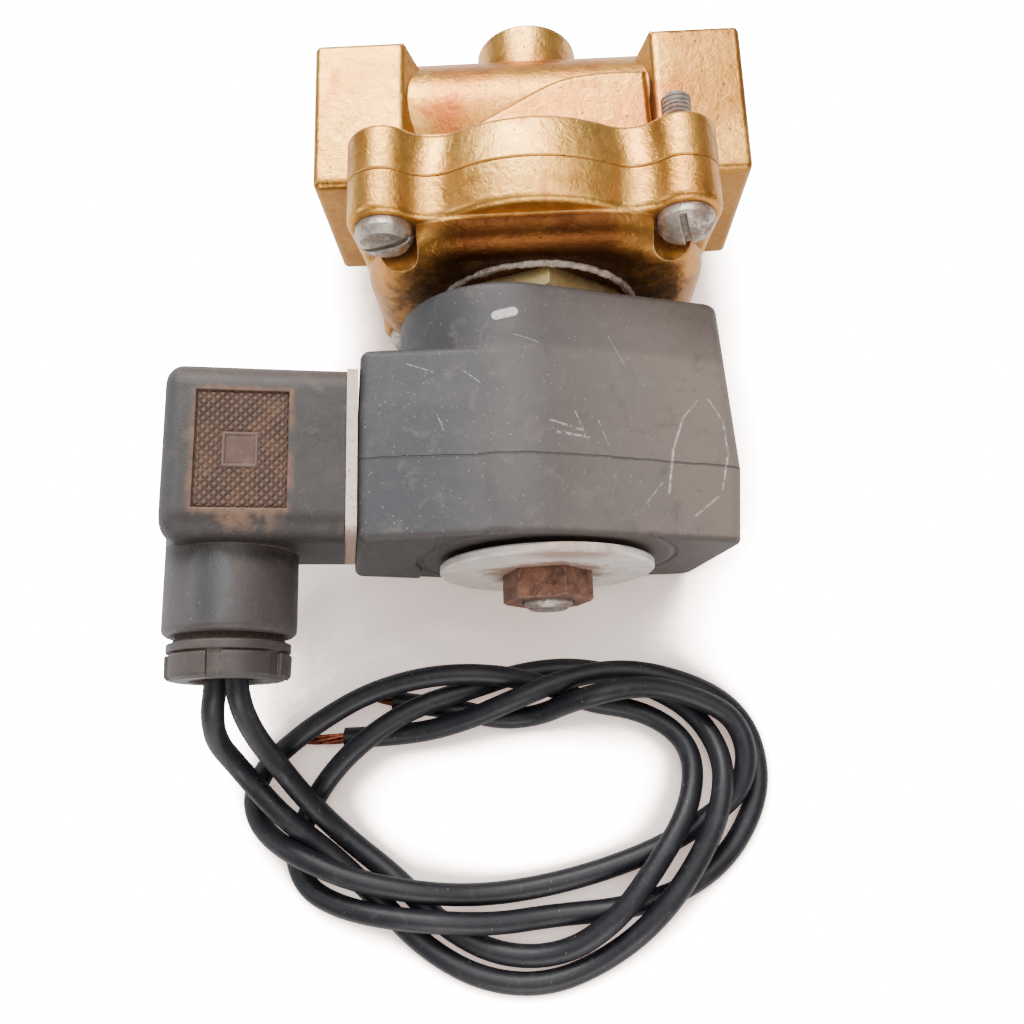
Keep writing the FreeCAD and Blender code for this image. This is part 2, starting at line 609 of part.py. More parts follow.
def make_gland_nut():
    g = revolve([(5.3, 83.8), (7.95, 83.8), (7.95, GNUT_Z0 - 0.7), (8.6, GNUT_Z0), (GNUT_R, GNUT_Z0 + 0.3), (GNUT_R, GNUT_Z0 + 1.5),
                 (8.75, GNUT_Z0 + 1.8), (8.75, GNUT_Z1 - 0.5), (8.3, GNUT_Z1), (5.9, GNUT_Z1), (5.3, GNUT_Z1 - 0.6)])
    lug = revolve([(8.2, GNUT_Z0 + 1.95), (9.3, GNUT_Z0 + 1.95), (9.45, GNUT_Z0 + 2.2), (9.35, GNUT_Z1 - 0.6), (9.0, GNUT_Z1 - 0.2), (8.2, GNUT_Z1 - 0.2)])
    lugs = []
    for i in range(6):
        a0 = math.radians(60 * i + 22.6 - 23.0)
        a1 = math.radians(60 * i + 22.6 + 23.0)
        w = Part.Face(Part.makePolygon([V(0, 0, 80), V(20 * math.sin(a0), 20 * math.cos(a0), 80), V(20 * math.sin(a1), 20 * math.cos(a1), 80), V(0, 0, 80)])).extrude(V(0, 0, 20))
        lugs.append(lug.common(w))
    g = fuse(g, *lugs).cut(cyl(5.3, 80, 100))
    g.translate(V(GL_X, 0, 0))
    return g


def make_inner_wires():
    return Part.makeCompound([cyl(LEAD_R, 66.0, LEAD_Z, x, y) for x, y in LEAD_AT])


# ================================================================ placing
def place(shape, on_coil=False):
    s = shape.copy()
    if on_coil:
        s.rotate(V(0, 0, 0), V(0, 0, 1), -COIL_TURN)
    s.rotate(V(0, 0, 0), V(1, 0, 0), 90.0 + LIE_TILT)
    return s


# ---- leads: points of their routes, row frame, millimetres
LEAD_A = [
    (-36.405, -53.527, 27.874), (-36.405, -58.796, 27.301), (-36, -62.9, 24), (-35.3, -66.3, 16.8), (-33.6, -69.6, 9.4),
    (-29.6, -74.8, 6.3), (-23.3, -81, 2.2), (-14.8, -87.4, 1.8), (-7.4, -94.9, 2.1), (2.1, -99.8, 1.8),
    (12.7, -99.7, 2.9), (21.4, -94.4, 5.7), (28.3, -86.1, 6.2), (33.4, -78.9, 5.1), (35.5, -72.6, 3.3),
    (35.2, -67.7, 2), (32.1, -63.8, 1.8), (26.2, -60.8, 2), (18.1, -59.4, 1.8), (11, -56.3, 3.8),
    (1.3, -54.9, 7.8), (-9.2, -55, 8.2), (-19.6, -57.3, 6.8), (-28.2, -61.9, 5.9), (-33.9, -65.9, 4.8),
    (-37.7, -69, 3.3), (-39.9, -73.6, 2.3), (-38.4, -78, 3), (-34.8, -81.2, 5.1), (-29.7, -84, 7.3),
    (-21.7, -87.5, 7), (-11.2, -89.8, 5.8), (-1.1, -90.5, 2.9), (9.2, -89.4, 1.8), (19.5, -87.1, 2),
    (29.6, -83.7, 1.8), (37.9, -79.2, 2), (42.9, -75.2, 4.1), (44.6, -69.3, 5.4), (42.7, -63.6, 6.2),
    (38, -60.7, 7.1), (30.6, -58.3, 8.4), (24, -58.5, 9.9), (18.7, -59.7, 10.4), (14.6, -60.3, 7),
    (9.6, -61.5, 2.2), (3, -62, 1.8), (-5.3, -59.7, 1.8), (-15.9, -58.1, 1.8),
]
LEAD_B = [
    (-39.848, -53.375, 26.482), (-39.848, -58.644, 25.909), (-41.1, -63, 23.2), (-42.1, -66.3, 16.5), (-40.9, -68.7, 10.6),
    (-37.7, -72.8, 7.8), (-32.7, -77.9, 6.8), (-25.3, -83.7, 2.9), (-17.8, -90.8, 1.8), (-10.3, -98.1, 1.9),
    (-0.9, -103.2, 1.8), (9.6, -104.2, 1.8), (19.7, -100.4, 2.1), (27.7, -94.5, 5.5), (34.6, -86.3, 6.2),
    (39.1, -77.8, 7.3), (40.4, -69.5, 5.4), (36.5, -61.2, 1.8), (28.1, -56.3, 1.8), (17.9, -53.1, 1.8),
    (7.3, -53.5, 1.8), (-2.2, -57, 4.5), (-12, -60, 6.2), (-21.2, -65.7, 5.6), (-27.7, -71.9, 2.7),
    (-30.9, -78, 1.8), (-32.3, -83.2, 1.9), (-30.2, -88.2, 2), (-25.7, -90.9, 3.4), (-19.1, -92.8, 5.4),
    (-9.4, -94.2, 6.3), (1.1, -94.9, 4.1), (11.1, -93.8, 1.8), (21.7, -93.2, 1.8), (32, -90.9, 2),
    (40.7, -85.2, 1.8), (46.5, -75.7, 1.9), (46.5, -66.9, 1.8), (43.1, -60.9, 2.4), (36, -57.1, 4.8),
    (25.6, -54.4, 5.8), (15.2, -55.7, 6.9), (5.9, -59.5, 8.4), (-3.8, -62.7, 4.9), (-13.8, -64.2, 2.1),
    (-24.3, -64.2, 1.8),
]
COPPER_A = [
    (-15.94, -58.07, 1.8), (-18.18, -57.49, 1.82), (-20.34, -56.67, 1.7), (-22.15, -55.8, 1.57),
]
COPPER_B = [
    (-24.32, -64.23, 1.77), (-27.19, -64.4, 1.82), (-30.06, -64.33, 1.71), (-32.53, -64.09, 1.6),
]
# ---- end of leads


def tube(points, radius, tag):
    """Straight runs joined by tangent arcs, each as large as its two runs allow."""
    P = [V(*p) for p in points]
    edges = []
    radii = []
    last = P[0]
    for i in range(1, len(P) - 1):
        a, b = P[i - 1] - P[i], P[i + 1] - P[i]
        t = 0.45 * min(a.Length, b.Length)
        a.normalize()
        b.normalize()
        half = (math.pi - a.getAngle(b)) / 2
        r = t / math.tan(half)
        radii.append(r)
        m = (a + b).normalize()
        p0, p1 = P[i] + a * t, P[i] + b * t
        mid = P[i] + m * (r / math.cos(half) - r)
        edges.append(Part.LineSegment(last, p0).toShape())
        edges.append(Part.Arc(p0, mid, p1).toShape())
        last = p1
    edges.append(Part.LineSegment(last, P[-1]).toShape())
    path = Part.Wire(edges)
    prof = Part.Wire([Part.Circle(P[0], (P[1] - P[0]), radius).toShape()])
    s = path.makePipeShell([prof], True, False)
    if s.Volume < 0:
        s.reverse()
    print(tag, "length %.1f" % path.Length, "volume ratio %.4f" % (s.Volume / (math.pi * radius ** 2 * path.Length)),
          "radii %.1f..." % min(radii) if radii else "", " ".join("%.0f" % r for r in radii))
    return s


nodes = {}
nodes["body"] = place(make_body())
nodes["cover"] = place(make_cover())
nodes["cover_screws"] = place(Part.makeCompound([screw(-LOBE_X, LOBE_Y, 15.6), screw(-LOBE_X, -LOBE_Y, 15.6), screw(LOBE_X, -LOBE_Y, 15.6)]))
nodes["cover_screw_long"] = place(screw(LOBE_X, LOBE_Y, 22.3))
nodes["diaphragm"] = place(make_diaphragm())
nodes["diaphragm_plate"] = place(make_plate())
nodes["pilot_nozzle"] = place(make_pilot())
nodes["tube_nut"] = place(make_tube_nut())
nodes["tube_oring"] = place(make_oring())
nodes["core_tube"] = place(revolve([(TUBE_RI, 28.0), (TUBE_RO, 28.0), (TUBE_RO, CORE_Z1), (TUBE_RI, CORE_Z1)]))
nodes["fixed_core"] = place(make_fixed_core())
nodes["shading_ring"] = place(revolve([(4.3, CORE_Z0), (5.2, CORE_Z0), (5.2, CORE_Z0 + 1.6), (4.3, CORE_Z0 + 1.6)]))
nodes["plunger"] = place(make_plunger())
nodes["plunger_seal"] = place(cyl(3.0, PL_Z0 - 0.25, PL_Z0 + 2.6))
nodes["plunger_spring"] = place(spring(2.1, 0.35, PL_Z1 - 12.95, CORE_Z0 + 3.95, 9))

term, earth, insert = make_terminals(), make_earth(), place_insert(make_insert())
bob, wind, yoke = make_bobbin(), make_winding(), make_yoke()
nodes["coil_housing"] = place(make_coil([term, earth, cyl(0.01, 0, 0.1)] [:2] + [fuse(insert, cylx(1.5, BLOCK_X - 1, BLOCK_X + 8.0, 0, TERM_Z)), bob, wind, yoke]), True)
nodes["bobbin"] = place(bob, True)
nodes["winding"] = place(wind, True)
nodes["yoke"] = place(yoke, True)
nodes["coil_terminals"] = place(term, True)
nodes["earth_terminal"] = place(earth, True)
nodes["screw_insert"] = place(insert, True)
nodes["coil_washer"] = place(make_washer())
nodes["coil_nut"] = place(make_nut())
nodes["plug_gasket"] = place(make_gasket(), True)
nodes["plug_housing"] = place(make_plug(), True)
nodes["terminal_block"] = place(make_terminal_block(), True)
nodes["terminal_screws"] = place(make_terminal_screws(), True)
nodes["plug_screw"] = place(make_plug_screw(), True)
nodes["gland_grommet"] = place(make_grommet(), True)
nodes["gland_washer"] = place(make_gland_washer(), True)
nodes["gland_nut"] = place(make_gland_nut(), True)
nodes["inner_wires"] = place(make_inner_wires(), True)

bb = FreeCAD.BoundBox()
for s in nodes.values():
    bb.add(s.optimalBoundingBox(False, False))
print("BOX", bb)
SHIFT = (-(bb.XMin + bb.XMax) / 2, -(bb.YMin + bb.YMax) / 2, -bb.ZMin)
print("SHIFT", SHIFT)

for s in nodes.values():
    s.translate(V(*SHIFT))
nodes["lead_a"] = tube(LEAD_A, LEAD_R, "lead_a")
nodes["lead_b"] = tube(LEAD_B, LEAD_R, "lead_b")
nodes["copper_end_a"] = tube(COPPER_A, COPPER_R, "copper_end_a")
nodes["copper_end_b"] = tube(COPPER_B, COPPER_R, "copper_end_b")

for name, s in nodes.items():
    ok = s.isValid()
    b = s.optimalBoundingBox(False, False)
    print("   box %.1f %.1f  %.1f %.1f  %.1f %.1f" % (b.XMin, b.XMax, b.YMin, b.YMax, b.ZMin, b.ZMax), end=" ")
    print(name, "solids", len(s.Solids), "vol %.1f" % s.Volume, "" if ok else "INVALID")
    s.exportStep(os.path.join(OUT, name + ".step"))
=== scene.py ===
import bpy, bmesh, math, random
from mathutils import Vector, Matrix, noise


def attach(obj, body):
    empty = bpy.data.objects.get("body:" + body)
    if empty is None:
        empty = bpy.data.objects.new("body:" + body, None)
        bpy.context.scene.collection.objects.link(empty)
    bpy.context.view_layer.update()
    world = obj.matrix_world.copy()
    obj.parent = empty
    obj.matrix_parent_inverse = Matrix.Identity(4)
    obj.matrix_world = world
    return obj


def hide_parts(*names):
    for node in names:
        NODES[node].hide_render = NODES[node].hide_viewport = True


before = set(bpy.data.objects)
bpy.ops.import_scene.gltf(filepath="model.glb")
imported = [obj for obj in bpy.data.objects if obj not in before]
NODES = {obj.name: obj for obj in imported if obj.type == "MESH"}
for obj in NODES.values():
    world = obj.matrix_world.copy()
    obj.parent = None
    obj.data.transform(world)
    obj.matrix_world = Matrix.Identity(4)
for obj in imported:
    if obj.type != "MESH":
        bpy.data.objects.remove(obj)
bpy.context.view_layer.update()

# ------------------------------------------------------------------ frames
TAU = math.radians(6.20)          # dip of the valve's axis as it lies
TURN = math.radians(11.35)        # the coil's turn on the tube
SHIFT = (11.910982, 37.999557, 27.958410)                 # mm
ROT = Matrix.Rotation(math.radians(90) + TAU, 3, 'X')


def L(x, y, z):
    """Valve frame in mm (x ports, z along the valve axis) to the row frame in metres."""
    return (ROT @ Vector((x, y, z)) + Vector(SHIFT)) * 0.001


def K(x, y, z):
    """The turned coil's frame in mm to the row frame in metres."""
    c, s = math.cos(TURN), math.sin(TURN)
    return L(c * x + s * y, -s * x + c * y, z)


# ------------------------------------------------------------------ camera
cam_data = bpy.data.cameras.new("camera")
cam = bpy.data.objects.new("camera", cam_data)
bpy.context.scene.collection.objects.link(cam)
cam_data.sensor_width = 36.0
cam_data.lens = 34.10
cam_data.clip_start = 0.01
cam_data.clip_end = 10
cam.matrix_world = Matrix(((0.999067813, 0.037726395, 0.020981501, 0.009850521), (-0.027906413, 0.935259323, -0.352861489, -0.087927754), (-0.032935337, 0.351947038, 0.935440295, 0.173509395), (0.000000000, 0.000000000, 0.000000000, 1.000000000)))
bpy.context.scene.camera = cam


# ------------------------------------------------------------------ light
def area(name, loc, target, size, power, colour=(1, 1, 1), size_y=None):
    d = bpy.data.lights.new(name, 'AREA')
    d.energy = power
    d.color = colour
    d.shape = 'RECTANGLE'
    d.size = size
    d.size_y = size_y or size
    o = bpy.data.objects.new(name, d)
    bpy.context.scene.collection.objects.link(o)
    o.location = loc
    o.rotation_euler = (Vector(target) - Vector(loc)).to_track_quat('-Z', 'Y').to_euler()
    return o


world = bpy.data.worlds.new("studio")
bpy.context.scene.world = world
world.use_nodes = True
wt = world.node_tree
for n in list(wt.nodes):
    wt.nodes.remove(n)
wo = wt.nodes.new("ShaderNodeOutputWorld")
wb = wt.nodes.new("ShaderNodeBackground")
wg = wt.nodes.new("ShaderNodeTexCoord")
wsep = wt.nodes.new("ShaderNodeSeparateXYZ")
wr = wt.nodes.new("ShaderNodeValToRGB")
wt.links.new(wg.outputs["Generated"], wsep.inputs[0])
wt.links.new(wsep.outputs["Z"], wr.inputs[0])
wr.color_ramp.elements[0].position = 0.0
wr.color_ramp.elements[0].color = (0.30, 0.29, 0.29, 1)
wr.color_ramp.elements[1].position = 1.0
wr.color_ramp.elements[1].color = (1.0, 0.99, 0.98, 1)
e_ = wr.color_ramp.elements.new(0.52)
e_.color = (0.55, 0.53, 0.52, 1)
# the room is brighter behind the object than in front, with a soft dark band between
wm = wt.nodes.new("ShaderNodeMath")
wm.operation = 'MULTIPLY_ADD'
wm.inputs[1].default_value = 0.5
wm.inputs[2].default_value = 0.5
wt.links.new(wsep.outputs["Y"], wm.inputs[0])
wr2 = wt.nodes.new("ShaderNodeValToRGB")
wt.links.new(wm.outputs[0], wr2.inputs[0])
wr2.color_ramp.elements[0].position = 0.0
wr2.color_ramp.elements[0].color = (0.45, 0.43, 0.42, 1)
wr2.color_ramp.elements[1].position = 1.0
wr2.color_ramp.elements[1].color = (1.0, 1.0, 1.0, 1)
for p_, c_ in ((0.28, 0.75), (0.40, 0.95), (0.56, 0.55), (0.68, 1.0)):
    e2 = wr2.color_ramp.elements.new(p_)
    e2.color = (c_, c_ * 0.99, c_ * 0.98, 1)
wmix = wt.nodes.new("ShaderNodeMix")
wmix.data_type = 'RGBA'
wmix.blend_type = 'MULTIPLY'
wmix.inputs[0].default_value = 1.0
wt.links.new(wr.outputs[0], wmix.inputs[6])
wt.links.new(wr2.outputs[0], wmix.inputs[7])
wt.links.new(wmix.outputs[2], wb.inputs[0])
wb.inputs[1].default_value = 0.50
wt.links.new(wb.outputs[0], wo.inputs[0])

area("key", (-0.10, 0.62, 0.72), (0.0, -0.01, 0.02), 0.50, 12.5, (1.0, 0.985, 0.96), 0.34)
area("top", (0.15, 0.05, 0.95), (0.0, -0.02, 0.0), 0.70, 6.5, (1.0, 0.99, 0.98))
area("fill", (0.05, -0.70, 0.34), (0.0, 0.0, 0.02), 0.50, 4.2, (1.0, 0.97, 0.94), 0.30)
area("left", (-0.75, -0.05, 0.45), (0.0, -0.02, 0.02), 0.45, 2.2, (0.90, 0.95, 1.0))


# ------------------------------------------------------------------ materials
class Mat:
    """A node material worked out in millimetres of the valve's own frame."""

    def __init__(self, name, frame_="valve"):
        self.m = bpy.data.materials.new(name)
        self.m.use_nodes = True
        self.t = self.m.node_tree
        for n in list(self.t.nodes):
            self.t.nodes.remove(n)
        self.out = self.node("ShaderNodeOutputMaterial")
        self.bsdf = self.node("ShaderNodeBsdfPrincipled")
        self.link(self.bsdf.outputs[0], self.out.inputs[0])
        tc = self.node("ShaderNodeTexCoord")
        if frame_ == "own":
            sc = self.node("ShaderNodeVectorMath", operation='SCALE')
            self.link(tc.outputs["Object"], sc.inputs[0])
            sc.inputs["Scale"].default_value = 1000.0
            self.P = sc.outputs[0]
        else:
            sc = self.node("ShaderNodeVectorMath", operation='SCALE')
            self.link(tc.outputs["Object"], sc.inputs[0])
            sc.inputs["Scale"].default_value = 1000.0
            sub = self.node("ShaderNodeVectorMath", operation='SUBTRACT')
            self.link(sc.outputs[0], sub.inputs[0])
            sub.inputs[1].default_value = SHIFT
            ro = self.node("ShaderNodeVectorRotate", rotation_type='X_AXIS')
            self.link(sub.outputs[0], ro.inputs["Vector"])
            ro.inputs["Angle"].default_value = -(math.radians(90) + TAU)
            self.P = ro.outputs[0]
            if frame_ == "coil":
                rz = self.node("ShaderNodeVectorRotate", rotation_type='Z_AXIS')
                self.link(self.P, rz.inputs["Vector"])
                rz.inputs["Angle"].default_value = TURN
                self.P = rz.outputs[0]
        sep = self.node("ShaderNodeSeparateXYZ")
        self.link(self.P, sep.inputs[0])
        self.x, self.y, self.z = sep.outputs
        self.height = None

    def node(self, kind, **props):
        n = self.t.nodes.new(kind)
        for k, v in props.items():
            setattr(n, k, v)
        return n

    def link(self, a, b):
        self.t.links.new(a, b)

    def put(self, sock, v):
        if isinstance(v, bpy.types.NodeSocket):
            self.link(v, sock)
        elif v is not None:
            if isinstance(v, (tuple, list)) and sock.type == 'RGBA' and len(v) == 3:
                v = (*v, 1.0)
            sock.default_value = v

    def noise(self, size, detail=4.0, rough=0.55, dist=0.0, off=(0, 0, 0), vec=None, stretch=None):
        """Noise whose blobs are about size mm."""
        v = vec or self.P
        if off != (0, 0, 0) or stretch:
            mp = self.node("ShaderNodeMapping")
            self.link(v, mp.inputs[0])
            mp.inputs["Location"].default_value = off
            if stretch:
                mp.inputs["Scale"].default_value = stretch
            v = mp.outputs[0]
        n = self.node("ShaderNodeTexNoise")
        self.link(v, n.inputs["Vector"])
        n.inputs["Scale"].default_value = 1.0 / size
        n.inputs["Detail"].default_value = detail
        n.inputs["Roughness"].default_value = rough
        n.inputs["Distortion"].default_value = dist
        return n.outputs["Fac"]

    def voronoi(self, size, feature='F1', rand=1.0, vec=None, out="Distance"):
        n = self.node("ShaderNodeTexVoronoi", feature=feature)
        self.link(vec or self.P, n.inputs["Vector"])
        n.inputs["Scale"].default_value = 1.0 / size
        n.inputs["Randomness"].default_value = rand
        return n.outputs[out]

    def ramp(self, fac, stops, interp='LINEAR'):
        r = self.node("ShaderNodeValToRGB")
        r.color_ramp.interpolation = interp
        els = r.color_ramp.elements
        while len(els) > 1:
            els.remove(els[-1])
        first = True
        for p, c in stops:
            c = (c, c, c) if isinstance(c, (int, float)) else c
            if first:
                els[0].position, els[0].color = p, (*c, 1)
                first = False
            else:
                e = els.new(p)
                e.color = (*c, 1)
        self.link(fac, r.inputs[0])
        return r.outputs[0]

    def mask(self, fac, lo, hi):
        n = self.node("ShaderNodeMapRange", interpolation_type='SMOOTHSTEP')
        n.inputs["From Min"].default_value = lo
        n.inputs["From Max"].default_value = hi
        self.put(n.inputs["Value"], fac)
        return n.outputs[0]

    def math(self, op, a, b=0.0, c=0.0, clamp=False):
        n = self.node("ShaderNodeMath", operation=op, use_clamp=clamp)
        self.put(n.inputs[0], a)
        self.put(n.inputs[1], b)
        self.put(n.inputs[2], c)
        return n.outputs[0]

    def mul(self, *a):
        r = a[0]
        for b in a[1:]:
            r = self.math('MULTIPLY', r, b)
        return r

    def add(self, a, b):
        return self.math('ADD', a, b)

    def inv(self, a):
        return self.math('SUBTRACT', 1.0, a, clamp=True)

    def mix(self, fac, a, b, blend='MIX'):
        n = self.node("ShaderNodeMix", data_type='RGBA', blend_type=blend)
        self.put(n.inputs[0], fac)
        self.put(n.inputs[6], a)
        self.put(n.inputs[7], b)
        return n.outputs[2]

    def lerp(self, fac, a, b):
        n = self.node("ShaderNodeMix", data_type='FLOAT')
        self.put(n.inputs[0], fac)
        self.put(n.inputs[2], a)
        self.put(n.inputs[3], b)
        return n.outputs[0]

    def blob(self, c, r, soft=0.4, scale=(1, 1, 1), warp=None, warp_amt=0.0):
        """1 inside a ball of radius r mm round c, fading over soft of it."""
        v = self.P
        if warp is not None:
            cx = self.node("ShaderNodeCombineXYZ")
            for i in range(3):
                self.link(self.math('MULTIPLY', self.math('SUBTRACT', warp, 0.5), warp_amt), cx.inputs[i])
            ad = self.node("ShaderNodeVectorMath", operation='ADD')
            self.link(v, ad.inputs[0])
            self.link(cx.outputs[0], ad.inputs[1])
            v = ad.outputs[0]
        s = self.node("ShaderNodeVectorMath", operation='SUBTRACT')
        self.link(v, s.inputs[0])
        s.inputs[1].default_value = c
        m = self.node("ShaderNodeVectorMath", operation='MULTIPLY')
        self.link(s.outputs[0], m.inputs[0])
        m.inputs[1].default_value = scale
        d = self.node("ShaderNodeVectorMath", operation='LENGTH')
        self.link(m.outputs[0], d.inputs[0])
        return self.mask(d.outputs["Value"], r, r * (1 - soft))

    def seg(self, a, b, w, axis_mul=(1, 1, 1), soft=0.5):
        """1 near the straight line from a to b, w mm wide, in the plane picked by axis_mul."""
        A, B = Vector(a), Vector(b)
        M_ = Vector(axis_mul)
        A = Vector([A[i] * M_[i] for i in range(3)])
        B = Vector([B[i] * M_[i] for i in range(3)])
        m = self.node("ShaderNodeVectorMath", operation='MULTIPLY')
        self.link(self.P, m.inputs[0])
        m.inputs[1].default_value = axis_mul
        s = self.node("ShaderNodeVectorMath", operation='SUBTRACT')
        self.link(m.outputs[0], s.inputs[0])
        s.inputs[1].default_value = A
        d = (B - A)
        ln = d.length
        dt = self.node("ShaderNodeVectorMath", operation='DOT_PRODUCT')
        self.link(s.outputs[0], dt.inputs[0])
        dt.inputs[1].default_value = d / ln
        t = self.math('MINIMUM', self.math('MAXIMUM', dt.outputs["Value"], 0.0), ln)
        sc = self.node("ShaderNodeVectorMath", operation='SCALE')
        sc.inputs[0].default_value = d / ln
        self.link(t, sc.inputs["Scale"])
        df = self.node("ShaderNodeVectorMath", operation='SUBTRACT')
        self.link(s.outputs[0], df.inputs[0])
        self.link(sc.outputs[0], df.inputs[1])
        le = self.node("ShaderNodeVectorMath", operation='LENGTH')
        self.link(df.outputs[0], le.inputs[0])
        return self.mask(le.outputs["Value"], w, w * (1 - soft))

    def band(self, v, lo, hi, soft=0.3):
        """1 where lo < v < hi."""
        return self.mul(self.mask(v, lo - soft, lo + soft), self.mask(v, hi + soft, hi - soft))

    def edges(self, radius=0.5, lo=0.02, hi=0.25):
        """1 on the piece's own convex and concave edges, from the bevel shader."""
        b = self.node("ShaderNodeBevel", samples=8)
        b.inputs["Radius"].default_value = radius * 0.001
        g = self.node("ShaderNodeNewGeometry")
        d = self.node("ShaderNodeVectorMath", operation='DOT_PRODUCT')
        self.link(b.outputs[0], d.inputs[0])
        self.link(g.outputs["Normal"], d.inputs[1])
        return self.mask(self.math('SUBTRACT', 1.0, d.outputs["Value"]), lo, hi)

    def soft_edges(self, radius=0.4):
        b = self.node("ShaderNodeBevel", samples=8)
        b.inputs["Radius"].default_value = radius * 0.001
        return b.outputs[0]

    def corner_dirt_and_shade(self, dist=2.0, lo=0.35, hi=0.95, inside=False):
        """1 in corners and gaps, from ambient occlusion: marks dirt and dust there and, where it darkens the colour,
        painted shade.
        """
        a = self.node("ShaderNodeAmbientOcclusion", samples=8, inside=inside)
        a.inputs["Distance"].default_value = dist * 0.001
        return self.inv(self.mask(a.outputs["AO"], lo, hi))

    def bump(self, h, dist, strength=1.0, normal=None):
        """h in 0..1 stands for dist mm."""
        b = self.node("ShaderNodeBump")
        b.inputs["Strength"].default_value = strength
        b.inputs["Distance"].default_value = dist * 0.001
        self.put(b.inputs["Height"], h)
        if normal is not None:
            self.link(normal, b.inputs["Normal"])
        return b.outputs[0]

    def done(self, color, rough=0.5, metal=0.0, normal=None, **kw):
        self.put(self.bsdf.inputs["Base Color"], color)
        self.put(self.bsdf.inputs["Roughness"], rough)
        self.put(self.bsdf.inputs["Metallic"], metal)
        if normal is not None:
            self.link(normal, self.bsdf.inputs["Normal"])
        for k, v in kw.items():
            self.put(self.bsdf.inputs[k.replace("_", " ")], v)
        return self.m


def paint(node, mat):
    o = NODES[node]
    if not o.material_slots:
        o.data.materials.append(mat)
    for s in o.material_slots:
        s.material = mat


def piece(name, mesh_or_curve, mat, body="valve"):
    o = bpy.data.objects.new(name, mesh_or_curve)
    bpy.context.scene.collection.objects.link(o)
    mesh_or_curve.materials.append(mat)
    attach(o, body)
    return o


